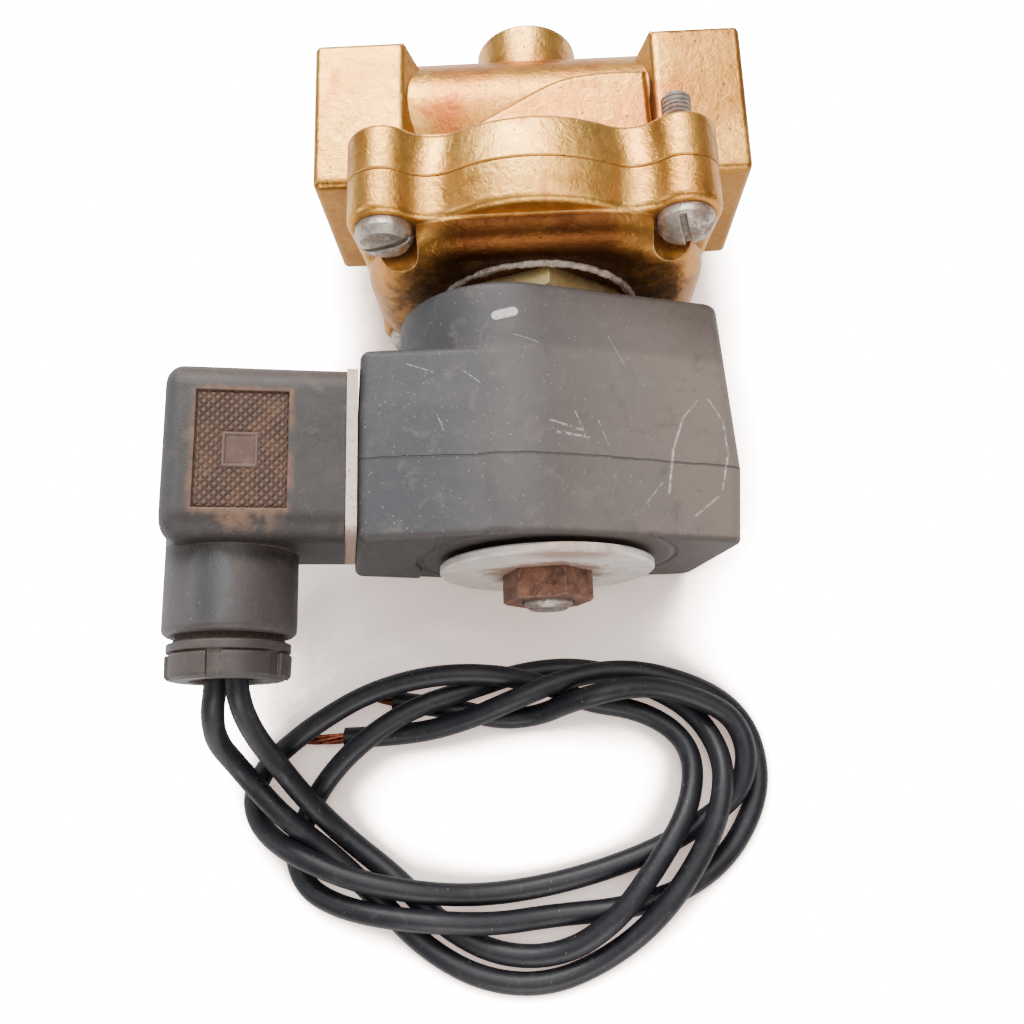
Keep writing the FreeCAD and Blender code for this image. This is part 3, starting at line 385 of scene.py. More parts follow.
# ------------------------------------------------------------------ brass
def brass(name, frame_="valve", cover=False):
    m = Mat(name, frame_)
    big = m.noise(15, 3, 0.5, 0.3)
    mid = m.noise(4.2, 5, 0.6, 0.6, off=(3, 7, 1))
    fine = m.noise(0.55, 4, 0.65)
    grain = m.noise(0.16, 2, 0.5, off=(5, 5, 5))
    base = m.ramp(big, [(0.30, (0.66, 0.385, 0.155)), (0.50, (0.80, 0.535, 0.235)), (0.72, (0.88, 0.66, 0.34))])
    base = m.mix(m.mul(m.mask(mid, 0.42, 0.68), 0.55), base, (0.74, 0.44, 0.20))
    # coppery stains where the skin has dezincified
    stain = m.noise(9, 4, 0.62, 1.2, off=(11, 2, 9))
    pink = m.mask(stain, 0.56, 0.70)
    base = m.mix(m.mul(pink, 0.60), base, (0.66, 0.27, 0.125))
    if not cover:
        for c, r, k in [((19, 13, 3), 8.5, 0.85), ((-14.5, 14, 0), 5.0, 0.85), ((-9, 14, 5), 4.0, 0.6),
                        ((14, 15, 8), 6.0, 0.7), ((24.5, 15, -2), 4.0, 0.6)]:
            b = m.blob(c, r, 0.7, warp=mid, warp_amt=7)
            base = m.mix(m.mul(b, k), base, (0.66, 0.275, 0.13))
    # brown patina
    if cover:
        dome = m.mask(m.z, 26.35, 26.9)
        pat = m.ramp(m.noise(6, 4, 0.6, 0.8, off=(2, 1, 4)), [(0.35, (0.16, 0.068, 0.026)), (0.55, (0.34, 0.165, 0.062)), (0.75, (0.56, 0.315, 0.13))])
        base = m.mix(m.mul(dome, 0.86), base, pat)
        # lighter golden on the sides; the middle, under the flange, painted near black: painted shade under the flange
        side_ = m.mask(m.math('ABSOLUTE', m.x), 11.0, 19.0)
        base = m.mix(m.mul(dome, side_, 0.55), base, (0.78, 0.50, 0.22))
        shade_under_flange = m.mul(dome, m.inv(side_), m.mask(m.y, 5.0, 9.0))
        base = m.mix(m.mul(shade_under_flange, 0.90), base, (0.060, 0.022, 0.010))
        near = m.mul(dome, m.mask(m.z, 29.6, 31.2), m.mask(mid, 0.36, 0.60))
        base = m.mix(m.mul(near, 0.60), base, (0.085, 0.035, 0.018))
    base = m.mix(1.0, base, (0.90, 0.67, 0.31), 'MULTIPLY')
    base = m.mix(m.mul(m.mask(m.noise(5.5, 5, 0.65, 1.0, off=(8, 8, 1)), 0.50, 0.68), 0.50), base, (0.56, 0.48, 0.38), 'MULTIPLY')
    if not cover:
        tubez = m.mul(m.band(m.x, -17.5, 13.0, 3.0), m.band(m.z, -14, 9, 3.0))
        base = m.mix(m.mul(tubez, m.mask(big, 0.34, 0.56), 0.75), base, (0.76, 0.50, 0.42), 'MULTIPLY')
        rb = m.mul(m.mask(m.x, 22.0, 26.0), m.mask(m.z, 9.0, 2.0))
        base = m.mix(m.mul(rb, 0.9), base, (0.55, 0.46, 0.40), 'MULTIPLY')
    if not cover:
        lw = m.mul(m.mask(m.z, 12.6, 14.0), m.mask(m.math('ABSOLUTE', m.x), 27.0, 30.0))
        base = m.mix(m.mul(lw, 0.75), base, (0.46, 0.42, 0.42), 'MULTIPLY')
    # corners and gaps darkened towards brown: dirt, and painted shade
    gr = m.corner_dirt_and_shade(2.2, 0.30, 0.92)
    grn = m.mul(gr, m.mask(mid, 0.30, 0.62))
    base = m.mix(m.mul(gr, 0.55), base, (0.23, 0.105, 0.045))
    base = m.mix(m.mul(grn, 0.45), base, (0.10, 0.048, 0.028))
    # dark specks and small pits in the casting
    pit = m.mask(m.voronoi(1.6), 0.13, 0.05)
    pit = m.mul(pit, m.mask(m.noise(3.1, 3, 0.5, off=(9, 9, 2)), 0.50, 0.62))
    base = m.mix(m.mul(pit, 0.65), base, (0.12, 0.055, 0.03))
    ed = m.edges(0.7, 0.02, 0.22)
    edn = m.mul(ed, m.inv(gr), m.mask(fine, 0.32, 0.60))
    base = m.mix(m.mul(edn, 0.75), base, (0.98, 0.76, 0.36))
    rough = m.lerp(mid, 0.20, 0.44)
    rough = m.math('ADD', rough, m.mul(gr, 0.22))
    rough = m.math('SUBTRACT', rough, m.mul(edn, 0.10))
    rough = m.math('ADD', rough, m.mul(pink, 0.08))
    h = m.add(m.mul(fine, 0.5), m.mul(mid, 0.5))
    n1 = m.bump(m.noise(1.9, 4, 0.6, 0.4, off=(1, 8, 3)), 0.30, 0.55, m.soft_edges(0.35))
    n2 = m.bump(m.add(m.mul(fine, 0.7), m.mul(grain, 0.3)), 0.10, 0.75, n1)
    n3 = m.bump(m.inv(pit), 0.16, 0.8, n2)
    return m.done(base, rough, 0.93, n3)


paint("body", brass("brass_cast"))
paint("cover", brass("brass_cover", cover=True))


def turned(name, frame_="valve", base_=((0.62, 0.40, 0.19), (0.80, 0.60, 0.32)), metal=1.0, rough_=(0.22, 0.42), pitch=0.35, rust=0.0, dull=0.0):
    """Turned metal: fine rings about the valve's axis, a few scuffs, and dirt and painted shade in the corners."""
    m = Mat(name, frame_)
    mid = m.noise(3.0, 5, 0.6, 0.8, off=(4, 1, 6))
    fine = m.noise(0.3, 3, 0.6)
    base = m.ramp(mid, [(0.32, base_[0]), (0.68, base_[1])])
    if dull:
        base = m.mix(m.mul(m.mask(m.noise(5, 4, 0.6), 0.40, 0.60), dull), base, (0.16, 0.13, 0.11))
    if rust:
        r = m.mask(m.noise(1.7, 6, 0.7, 1.0, off=(8, 3, 1)), 0.62 - 0.25 * rust, 0.75 - 0.2 * rust)
        base = m.mix(m.mul(r, 0.85), base, (0.20, 0.075, 0.03))
    # corners darkened: dirt, and painted shade
    gr = m.corner_dirt_and_shade(1.2, 0.3, 0.9)
    base = m.mix(m.mul(gr, 0.6), base, (0.07, 0.045, 0.032))
    ed = m.mul(m.edges(0.35, 0.02, 0.2), m.inv(gr))
    base = m.mix(m.mul(ed, 0.6), base, tuple(min(1, 1.25 * v) for v in base_[1]))
    w = m.node("ShaderNodeTexWave", wave_type='RINGS', rings_direction='Z')
    m.link(m.P, w.inputs["Vector"])
    w.inputs["Scale"].default_value = 1.0 / pitch / 6.0
    w.inputs["Distortion"].default_value = 1.2
    w.inputs["Detail"].default_value = 2.0
    w.inputs["Detail Scale"].default_value = 2.0
    rough = m.math('ADD', m.lerp(fine, *rough_), m.mul(gr, 0.3))
    if rust:
        rough = m.lerp(r, rough, 0.75)
    n = m.bump(w.outputs["Fac"], 0.012, 0.7, m.soft_edges(0.15))
    n = m.bump(m.add(m.mul(fine, 0.5), m.mul(mid, 0.5)), 0.06, 0.6, n)
    return m.done(base, rough, metal if not rust else m.lerp(r, metal, 0.25), n)


paint("tube_nut", turned("brass_turned", "valve", ((0.90, 0.62, 0.26), (1.0, 0.82, 0.42)), rough_=(0.40, 0.55)))
paint("core_tube", turned("tube_steel", "valve", ((0.42, 0.40, 0.38), (0.60, 0.58, 0.56)), rough_=(0.22, 0.38)))
paint("plunger", turned("plunger_steel", "valve", ((0.40, 0.39, 0.38), (0.62, 0.61, 0.60)), rough_=(0.20, 0.36)))
paint("fixed_core", turned("core_steel", "valve", ((0.30, 0.27, 0.25), (0.55, 0.50, 0.46)), rough_=(0.32, 0.52), rust=0.55, pitch=0.2))
paint("pilot_nozzle", turned("nozzle_steel", "valve", ((0.42, 0.40, 0.38), (0.66, 0.64, 0.62)), rough_=(0.20, 0.34)))
paint("diaphragm_plate", turned("plate_steel", "valve", ((0.40, 0.39, 0.38), (0.60, 0.59, 0.58)), rough_=(0.25, 0.40)))
paint("shading_ring", turned("ring_copper", "valve", ((0.55, 0.20, 0.10), (0.80, 0.36, 0.20)), rough_=(0.22, 0.36)))
paint("plunger_spring", turned("spring_steel_b", "valve", ((0.45, 0.44, 0.43), (0.70, 0.69, 0.68)), rough_=(0.18, 0.30), dull=0.2))
paint("screw_insert", turned("insert_brass", "coil", ((0.60, 0.38, 0.18), (0.80, 0.58, 0.30))))
paint("coil_terminals", turned("blade_tin", "coil", ((0.50, 0.49, 0.47), (0.68, 0.67, 0.64)), rough_=(0.25, 0.45), dull=0.3))
paint("earth_terminal", turned("blade_tin_b", "coil", ((0.50, 0.49, 0.47), (0.68, 0.67, 0.64)), rough_=(0.25, 0.45), dull=0.3))
paint("yoke", turned("yoke_steel", "coil", ((0.22, 0.20, 0.19), (0.42, 0.40, 0.38)), rough_=(0.35, 0.55), rust=0.3))
paint("terminal_screws", turned("zinc_screw_b", "coil", ((0.42, 0.41, 0.38), (0.62, 0.61, 0.57)), rough_=(0.25, 0.42), dull=0.4))
paint("plug_screw", turned("zinc_screw_c", "coil", ((0.40, 0.38, 0.34), (0.60, 0.57, 0.52)), rough_=(0.28, 0.45), rust=0.35))
paint("gland_washer", turned("zinc_ring", "coil", ((0.40, 0.38, 0.34), (0.60, 0.57, 0.52)), rough_=(0.28, 0.45), dull=0.4))


# ------------------------------------------------------------------ zinc screws
def zinc(name, dark=0.0):
    m = Mat(name)
    mid = m.noise(2.2, 5, 0.62, 0.7, off=(1, 6, 2))
    fine = m.noise(0.28, 4, 0.65)
    base = m.ramp(mid, [(0.30, (0.33, 0.27, 0.22)), (0.50, (0.50, 0.44, 0.38)), (0.70, (0.66, 0.60, 0.54))])
    white = m.mask(m.noise(1.1, 5, 0.7, off=(7, 7, 7)), 0.55, 0.68)
    base = m.mix(m.mul(white, 0.5), base, (0.72, 0.70, 0.67))
    rust = m.mask(m.noise(1.9, 5, 0.7, 0.9, off=(3, 9, 4)), 0.54 - dark, 0.66 - dark)
    base = m.mix(m.mul(rust, 0.8), base, (0.24, 0.10, 0.05))
    # corners darkened: dirt, and painted shade
    gr = m.corner_dirt_and_shade(1.0, 0.25, 0.9)
    base = m.mix(m.mul(gr, 0.75), base, (0.055, 0.035, 0.025))
    ed = m.mul(m.edges(0.3, 0.02, 0.2), m.inv(gr))
    base = m.mix(m.mul(ed, 0.5), base, (0.80, 0.77, 0.72))
    # thread on the shanks: turns at 0.8 mm
    th = m.math('FRACT', m.math('DIVIDE', m.z, 0.8))
    saw = m.math('ABSOLUTE', m.math('SUBTRACT', th, 0.5))
    shank = m.mask(m.z, 10.4, 10.1)
    hgt = m.mul(saw, shank)
    # thread roots painted dark: painted shade in the grooves
    base = m.mix(m.mul(shank, m.mask(saw, 0.22, 0.05), 0.8), base, (0.07, 0.045, 0.03))
    n = m.bump(hgt, 0.55, 1.0, m.soft_edges(0.2))
    n = m.bump(m.add(m.mul(fine, 0.6), m.mul(mid, 0.4)), 0.10, 0.8, n)
    rough = m.math('ADD', m.lerp(fine, 0.30, 0.50), m.mul(m.math('MAXIMUM', rust, gr), 0.25))
    return m.done(base, rough, m.lerp(m.math('MAXIMUM', rust, m.mul(white, 0.6)), 0.95, 0.35), n)


paint("cover_screws", zinc("zinc_screw"))
paint("cover_screw_long", zinc("zinc_screw_long", 0.06))


# ------------------------------------------------------------------ rubber
def rubber(name, frame_="valve", c0=(0.012, 0.011, 0.011), c1=(0.035, 0.032, 0.030)):
    m = Mat(name, frame_)
    mid = m.noise(3.0, 5, 0.6)
    fine = m.noise(0.25, 3, 0.6)
    base = m.ramp(mid, [(0.3, c0), (0.7, c1)])
    dust = m.mul(m.corner_dirt_and_shade(0.8, 0.3, 0.9), m.mask(fine, 0.4, 0.6))
    base = m.mix(m.mul(dust, 0.4), base, (0.16, 0.11, 0.07))
    n = m.bump(m.add(m.mul(fine, 0.6), m.mul(mid, 0.4)), 0.05, 0.7, m.soft_edges(0.15))
    return m.done(base, m.lerp(fine, 0.55, 0.80), 0.0, n)


paint("diaphragm", rubber("rubber_fabric"))
paint("tube_oring", rubber("rubber_ring"))
paint("plunger_seal", rubber("rubber_seal"))
paint("gland_grommet", rubber("rubber_grommet", "coil"))


# ------------------------------------------------------------------ coil resin
def resin():
    m = Mat("coil_resin", "coil")
    big = m.noise(16, 4, 0.55, 0.4)
    mid = m.noise(3.6, 6, 0.62, 0.6, off=(3, 3, 8))
    fine = m.noise(0.45, 4, 0.7)
    side = m.mask(m.x, -24, 26)
    base = m.mix(side, (0.034, 0.035, 0.041), (0.155, 0.120, 0.100))
    base = m.mix(m.mul(m.mask(big, 0.40, 0.66), 0.35), base, (0.105, 0.094, 0.088))
    base = m.mix(m.mul(m.mask(mid, 0.52, 0.70), 0.36), base, (0.150, 0.130, 0.115))
    base = m.mix(m.mul(m.mask(mid, 0.46, 0.30), 0.40), base, (0.052, 0.049, 0.050))
    # filler grains in the moulding
    sp = m.mul(m.mask(m.voronoi(0.85), 0.22, 0.08), m.mask(m.noise(0.9, 2, 0.5, off=(2, 2, 2)), 0.45, 0.60))
    base = m.mix(m.mul(sp, 0.45), base, (0.33, 0.30, 0.27))
    dk = m.mul(m.mask(m.voronoi(1.3), 0.14, 0.05), m.mask(m.noise(1.7, 2, 0.5, off=(6, 1, 2)), 0.50, 0.60))
    base = m.mix(m.mul(dk, 0.55), base, (0.045, 0.04, 0.04))
    collar = m.mask(m.z, 47.5, 45.5)
    base = m.mix(m.mul(collar, 0.6), base, (0.62, 0.62, 0.66), 'MULTIPLY')
    # the end face, which faces away from the key light, painted darker: painted shade
    end = m.mask(m.z, 75.6, 76.7)
    base = m.mix(m.mul(end, 0.80), base, (0.036, 0.028, 0.026))
    top_ = m.mask(m.y, 12, 25)
    # parting line round the middle of the moulding
    wob = m.mul(m.math('SUBTRACT', m.noise(3.0, 2, 0.5), 0.5), 0.5)
    seam = m.math('ABSOLUTE', m.math('SUBTRACT', m.add(m.z, wob), 64.6))
    seam = m.mask(seam, 0.22, 0.05)
    sk = m.mul(seam, m.mask(m.x, -30, -8))
    base = m.mix(m.mul(seam, m.lerp(m.mask(m.x, -26, 0), 0.25, 0.75)), base, (0.045, 0.042, 0.042))
    # shallow circle round the washer
    rr = m.math('POWER', m.add(m.mul(m.x, m.x), m.mul(m.y, m.y)), 0.5)
    # rubbed pale arcs on the right-hand end of the flat side
    scr = None
    lines = [((16.6, 0, 69.5), (17.8, 0, 62.5), 0.30, 0.75), ((17.8, 0, 62.5), (20.0, 0, 57.0), 0.26, 0.7), ((20.0, 0, 57.0), (22.8, 0, 53.8), 0.20, 0.55),
             ((26.0, 0, 68.5), (27.5, 0, 62.5), 0.26, 0.75), ((27.5, 0, 62.5), (27.2, 0, 57.0), 0.24, 0.6), ((27.2, 0, 57.0), (24.8, 0, 53.2), 0.18, 0.5),
             ((21.0, 0, 73.0), (25.4, 0, 69.6), 0.26, 0.5), ((12.6, 0, 71.5), (15.6, 0, 68.0), 0.14, 0.4),
             ((-2.5, 0, 59.2), (3.0, 0, 60.6), 0.28, 0.6), ((-1.5, 0, 61.0), (3.6, 0, 61.6), 0.30, 0.55), ((1.5, 0, 57.2), (3.4, 0, 62.0), 0.16, 0.5),
             ((5.4, 0, 58.6), (6.8, 0, 62.6), 0.12, 0.45), ((-16, 0, 50.5), (-13.0, 0, 53.0), 0.14, 0.4), ((-24, 0, 49.5), (-20, 0, 51.0), 0.16, 0.4),
             ((-8.0, 0, 45.0), (-3.5, 0, 46.4), 0.12, 0.35), ((8.0, 0, 44.0), (10.6, 0, 49.0), 0.10, 0.35), ((-19.5, 0, 58.0), (-18.6, 0, 60.5), 0.14, 0.4)]
    brk = m.mask(m.noise(0.8, 5, 0.75, 0.5, off=(4, 4, 1)), 0.40, 0.58)
    for a, b, w, k in lines:
        s = m.mul(m.seg(a, b, w, (1, 0, 1), 0.7), k)
        scr = s if scr is None else m.math('MAXIMUM', scr, s)
    up = m.mask(m.y, 8, 12)
    scr = m.mul(scr, up, brk)
    base = m.mix(m.mul(scr, 0.95), base, (0.52, 0.50, 0.48))
    # a smear of old white paint by the valve's end
    dab = m.seg((-10.2, 0, 41.8), (-7.6, 0, 41.2), 0.9, (1, 0, 1), 0.35)
    dab = m.mul(dab, up, m.mask(m.noise(0.7, 5, 0.7, 0.3), 0.30, 0.46))
    base = m.mix(m.mul(dab, 0.85), base, (0.60, 0.60, 0.57))
    # dust and painted shade in the corners
    gr = m.corner_dirt_and_shade(2.5, 0.30, 0.95)
    base = m.mix(m.mul(gr, 0.35), base, (0.060, 0.045, 0.036))
    ed = m.edges(0.7, 0.02, 0.25)
    edn = m.mul(ed, m.mask(fine, 0.34, 0.6), m.inv(gr))
    base = m.mix(m.mul(edn, 0.45), base, (0.24, 0.225, 0.21))
    rough = m.lerp(mid, 0.50, 0.66)
    rough = m.math('ADD', rough, m.mul(dab, 0.2))
    n = m.bump(m.inv(seam), 0.35, 0.9, m.soft_edges(0.5))
    grooveR = m.mask(m.math('ABSOLUTE', m.math('SUBTRACT', rr, 21.0)), 0.8, 0.1)
    n = m.bump(m.inv(m.mul(grooveR, end)), 0.5, 0.8, n)
    n = m.bump(m.add(m.mul(mid, 0.5), m.mul(big, 0.5)), 0.35, 0.45, n)
    n = m.bump(m.add(m.mul(fine, 0.7), m.mul(m.inv(dk), 0.3)), 0.09, 0.8, n)
    return m.done(base, rough, 0.0, n)


paint("coil_housing", resin())


def plain_plastic(name, frame_, c0, c1, rough_=(0.35, 0.55)):
    m = Mat(name, frame_)
    mid = m.noise(4.0, 5, 0.6, 0.4)
    fine = m.noise(0.3, 3, 0.6)
    base = m.ramp(mid, [(0.3, c0), (0.7, c1)])
    # corners darkened: dirt, and painted shade
    gr = m.corner_dirt_and_shade(1.5, 0.3, 0.9)
    base = m.mix(m.mul(gr, 0.4), base, tuple(0.35 * v for v in c0))
    n = m.bump(m.add(m.mul(fine, 0.6), m.mul(mid, 0.4)), 0.05, 0.6, m.soft_edges(0.2))
    return m.done(base, m.lerp(fine, *rough_), 0.0, n)


paint("bobbin", plain_plastic("bobbin_nylon", "coil", (0.45, 0.43, 0.38), (0.58, 0.56, 0.50)))
paint("terminal_block", plain_plastic("block_nylon", "coil", (0.030, 0.028, 0.027), (0.055, 0.050, 0.048)))

mw = Mat("copper_winding", "coil")
# each turn bright in the middle and dark at its sides: painted shade between the turns
rows = mw.math('FRACT', mw.math('DIVIDE', mw.z, 0.28))
hrow = mw.math('ABSOLUTE', mw.math('SUBTRACT', rows, 0.5))
wbase = mw.mix(mw.mask(hrow, 0.1, 0.45), (0.50, 0.17, 0.06), (0.18, 0.05, 0.02))
wbase = mw.mix(mw.mul(mw.mask(mw.noise(3.0, 3, 0.5), 0.5, 0.7), 0.4), wbase, (0.62, 0.27, 0.11))
paint("winding", mw.done(wbase, 0.30, 0.7, mw.bump(mw.inv(mw.mul(hrow, 2.0)), 0.14, 1.0)))


# ------------------------------------------------------------------ washer and nut
def washer():
    m = Mat("washer_zinc", "coil")
    mid = m.noise(3.2, 6, 0.66, 0.6, off=(2, 5, 5))
    fine = m.noise(0.35, 4, 0.7)
    rr = m.math('POWER', m.add(m.mul(m.x, m.x), m.mul(m.y, m.y)), 0.5)
    base = m.ramp(mid, [(0.30, (0.62, 0.54, 0.49)), (0.52, (0.82, 0.74, 0.68)), (0.74, (0.93, 0.87, 0.81))])
    base = m.mix(m.mul(m.mask(m.x, 2, -14), 0.25), base, (0.50, 0.42, 0.37))
    spk = m.mul(m.mask(m.voronoi(0.9), 0.22, 0.1), m.mask(fine, 0.48, 0.62))
    base = m.mix(m.mul(spk, 0.6), base, (0.30, 0.24, 0.20))
    r1 = m.mask(m.add(rr, m.mul(m.math('SUBTRACT', mid, 0.5), 9.0)), 12.0, 7.5)
    base = m.mix(m.mul(r1, 0.85), base, m.ramp(m.noise(1.2, 5, 0.7), [(0.3, (0.13, 0.055, 0.028)), (0.7, (0.33, 0.165, 0.085))]))
    r2 = m.blob((0.5, 15.5, 79.2), 8.5, 0.8, scale=(0.75, 1.6, 1.0), warp=mid, warp_amt=6)
    base = m.mix(m.mul(r2, 0.75), base, (0.26, 0.13, 0.07))
    ed = m.edges(0.35, 0.02, 0.25)
    base = m.mix(m.mul(ed, m.mask(fine, 0.40, 0.6), 0.5), base, (0.88, 0.86, 0.83))
    # corners darkened: dirt, and painted shade
    gr = m.corner_dirt_and_shade(1.2, 0.25, 0.85)
    base = m.mix(m.mul(gr, 0.6), base, (0.10, 0.06, 0.04))
    rough = m.lerp(fine, 0.45, 0.70)
    n = m.bump(m.add(m.mul(mid, 0.55), m.mul(fine, 0.45)), 0.16, 0.8, m.soft_edges(0.25))
    return m.done(base, rough, m.lerp(m.math('MAXIMUM', r1, r2), 0.45, 0.15), n)


paint("coil_washer", washer())


def rusty():
    m = Mat("nut_rust", "coil")
    mid = m.noise(2.4, 6, 0.68, 0.8, off=(1, 2, 3))
    fine = m.noise(0.35, 5, 0.72)
    base = m.ramp(mid, [(0.30, (0.050, 0.020, 0.013)), (0.48, (0.125, 0.050, 0.028)), (0.62, (0.235, 0.100, 0.050)), (0.78, (0.34, 0.17, 0.09))])
    base = m.mix(m.mul(m.mask(fine, 0.54, 0.70), 0.5), base, (0.38, 0.17, 0.075))
    base = m.mix(m.mul(m.mask(fine, 0.42, 0.30), 0.6), base, (0.035, 0.018, 0.014))
    ed = m.edges(0.45, 0.02, 0.2)
    glint = m.mul(ed, m.mask(m.noise(1.0, 4, 0.6, off=(4, 4, 4)), 0.42, 0.55))
    base = m.mix(m.mul(glint, 0.6), base, (0.56, 0.44, 0.38))
    # corners darkened: dirt, and painted shade
    gr = m.corner_dirt_and_shade(1.2, 0.3, 0.9)
    base = m.mix(m.mul(gr, 0.5), base, (0.03, 0.015, 0.012))
    met = m.lerp(m.math('MAXIMUM', glint, m.mask(mid, 0.44, 0.30)), 0.15, 0.75)
    rough = m.lerp(fine, 0.32, 0.72)
    n = m.bump(mid, 0.30, 0.7, m.soft_edges(0.35))
    n = m.bump(fine, 0.14, 0.9, n)
    return m.done(base, rough, met, n)


paint("coil_nut", rusty())


def gasket():
    m = Mat("gasket", "coil")
    mid = m.noise(2.0, 5, 0.65)
    fine = m.noise(0.30, 3, 0.7)
    base = m.ramp(mid, [(0.3, (0.60, 0.47, 0.37)), (0.7, (0.80, 0.68, 0.58))])
    spk = m.mul(m.mask(m.voronoi(0.8), 0.28, 0.12), m.mask(m.noise(0.8, 2, 0.5, off=(3, 3, 3)), 0.40, 0.55))
    base = m.mix(m.mul(spk, 0.75), base, (0.22, 0.11, 0.06))
    # the gasket's near end, facing away from the key light, painted dark: painted shade
    base = m.mix(m.mul(m.mask(m.z, 74.0, 76.4), 0.75), base, (0.16, 0.085, 0.05))
    base = m.mix(m.mul(m.mask(m.z, 52.0, 49.6), 0.4), base, (0.42, 0.30, 0.22))
    # corners darkened: dirt, and painted shade
    gr = m.corner_dirt_and_shade(0.8, 0.3, 0.9)
    base = m.mix(m.mul(gr, 0.35), base, (0.25, 0.15, 0.10))
    n = m.bump(m.add(m.mul(fine, 0.5), m.mul(m.inv(spk), 0.5)), 0.10, 0.8, m.soft_edges(0.15))
    return m.done(base, m.lerp(fine, 0.6, 0.85), 0.0, n)


paint("plug_gasket", gasket())


# ------------------------------------------------------------------ plug
def nylon(name, gland=False):
    m = Mat(name, "coil")
    big = m.noise(12, 4, 0.55, 0.4, off=(1, 1, 1))
    mid = m.noise(3.4, 6, 0.62, 0.5, off=(6, 2, 3))
    fine = m.noise(0.38, 4, 0.7)
    base = m.ramp(big, [(0.34, (0.018, 0.014, 0.013)), (0.55, (0.028, 0.022, 0.020)), (0.74, (0.044, 0.034, 0.029))] if not gland else [(0.34, (0.034, 0.027, 0.025)), (0.55, (0.050, 0.040, 0.036)), (0.74, (0.072, 0.057, 0.050))])
    base = m.mix(m.mul(m.mask(mid, 0.52, 0.70), 0.45), base, (0.105, 0.083, 0.068))
    base = m.mix(m.mul(m.mask(mid, 0.46, 0.32), 0.45), base, (0.030, 0.026, 0.025))
    # rounded left-hand edge painted lighter and bluer: painted sheen
    base = m.mix(m.mul(m.mask(m.x, -56.6, -59.4), 0.65), base, (0.066, 0.066, 0.072))
    if not gland:
        # a band near the plug's lower end, facing away from the key light, multiplied darker: painted shade
        lowf = m.mul(m.mask(m.z, 75.6, 76.6), m.mask(m.z, 80.0, 77.6))
        base = m.mix(m.mul(lowf, 0.9), base, (0.40, 0.36, 0.34), 'MULTIPLY')
        nk = m.mask(m.z, 78.2, 80.2)
        base = m.mix(m.mul(nk, 0.6), base, (0.062, 0.052, 0.049))
        topf = m.mask(m.z, 54.0, 50.0)
        base = m.mix(m.mul(topf, 0.7), base, (0.088, 0.064, 0.054))
        # rust dust round the grip pad
        fy = m.mask(m.y, 11.0, 13.0)
        dx = m.math('ABSOLUTE', m.add(m.x, 48.35))
        dz = m.math('ABSOLUTE', m.math('SUBTRACT', m.z, 63.3))
        inx = m.mask(dx, 8.1, 6.6)
        inz = m.mask(dz, 10.4, 9.0)
        pad = m.mul(inx, inz, fy)
        inner = m.mul(m.mask(dx, 6.9, 5.6), m.mask(dz, 9.3, 8.0), fy)
        rim = m.mul(pad, m.inv(m.mul(inner, 0.65)))
        base = m.mix(m.mul(rim, m.mask(mid, 0.34, 0.60), 0.75), base, (0.19, 0.085, 0.040))
        below = m.mul(m.band(m.x, -52, -44, 3), m.band(m.z, 72.8, 75.6, 1.6), fy)
        base = m.mix(m.mul(below, m.mask(mid, 0.42, 0.60), 0.7), base, (0.225, 0.115, 0.065))
        # generic scuffs on the plain side of the pad
        for a, b, w in [((-38.2, 0, 57.0), (-36.4, 0, 63.0), 0.16), ((-40.2, 0, 60.0), (-36.0, 0, 68.2), 0.13)]:
            s = m.mul(m.seg(a, b, w, (1, 0, 1), 0.7), m.mask(m.noise(0.9, 4, 0.7), 0.42, 0.58), fy)
            base = m.mix(m.mul(s, 0.6), base, (0.045, 0.038, 0.036))
        # white flecks and a damp dark patch on the neck
        wet = m.blob((-52.6, 8.5, 83.0), 4.2, 0.35, scale=(1.0, 0.7, 0.62), warp=mid, warp_amt=4)
        base = m.mix(m.mul(wet, 0.75), base, (0.035, 0.037, 0.043))
        flk = m.mul(m.mask(m.voronoi(1.0), 0.24, 0.1), m.mask(m.noise(1.3, 4, 0.7, off=(1, 4, 9)), 0.54, 0.62), m.mask(m.z, 78, 80), m.mask(m.x, -52.4, -54.6))
        base = m.mix(m.mul(flk, 0.8), base, (0.46, 0.45, 0.43))
        base = m.mix(m.mul(m.mask(m.z, 77.4, 80.4), m.mask(m.x, -51, -58), 0.5), base, (0.080, 0.077, 0.078))
        # mask for a mould line across the neck; nothing uses it
        ln = m.mask(m.math('ABSOLUTE', m.math('SUBTRACT', m.z, 88.7)), 0.18, 0.05)
    gr = m.corner_dirt_and_shade(2.0, 0.30, 0.93)
    base = m.mix(m.mul(gr, 0.5), base, (0.040, 0.031, 0.027))
    gd = m.mul(gr, m.mask(fine, 0.46, 0.62))
    base = m.mix(m.mul(gd, 0.35), base, (0.22, 0.125, 0.075))
    ed = m.edges(0.5, 0.02, 0.25)
    base = m.mix(m.mul(ed, m.mask(fine, 0.36, 0.6), m.inv(gr), 0.40), base, (0.17, 0.15, 0.135))
    rough = m.lerp(mid, 0.42, 0.62)
    if not gland:
        rough = m.math('SUBTRACT', rough, m.mul(wet, 0.22))
    n = m.bump(m.add(m.mul(mid, 0.6), m.mul(big, 0.4)), 0.22, 0.4, m.soft_edges(0.35))
    n = m.bump(fine, 0.07, 0.8, n)
    return m.done(base, rough, 0.0, n)


nylon_plug = nylon("plug_nylon")
paint("plug_housing", nylon_plug)
paint("gland_nut", nylon("gland_nylon", True))


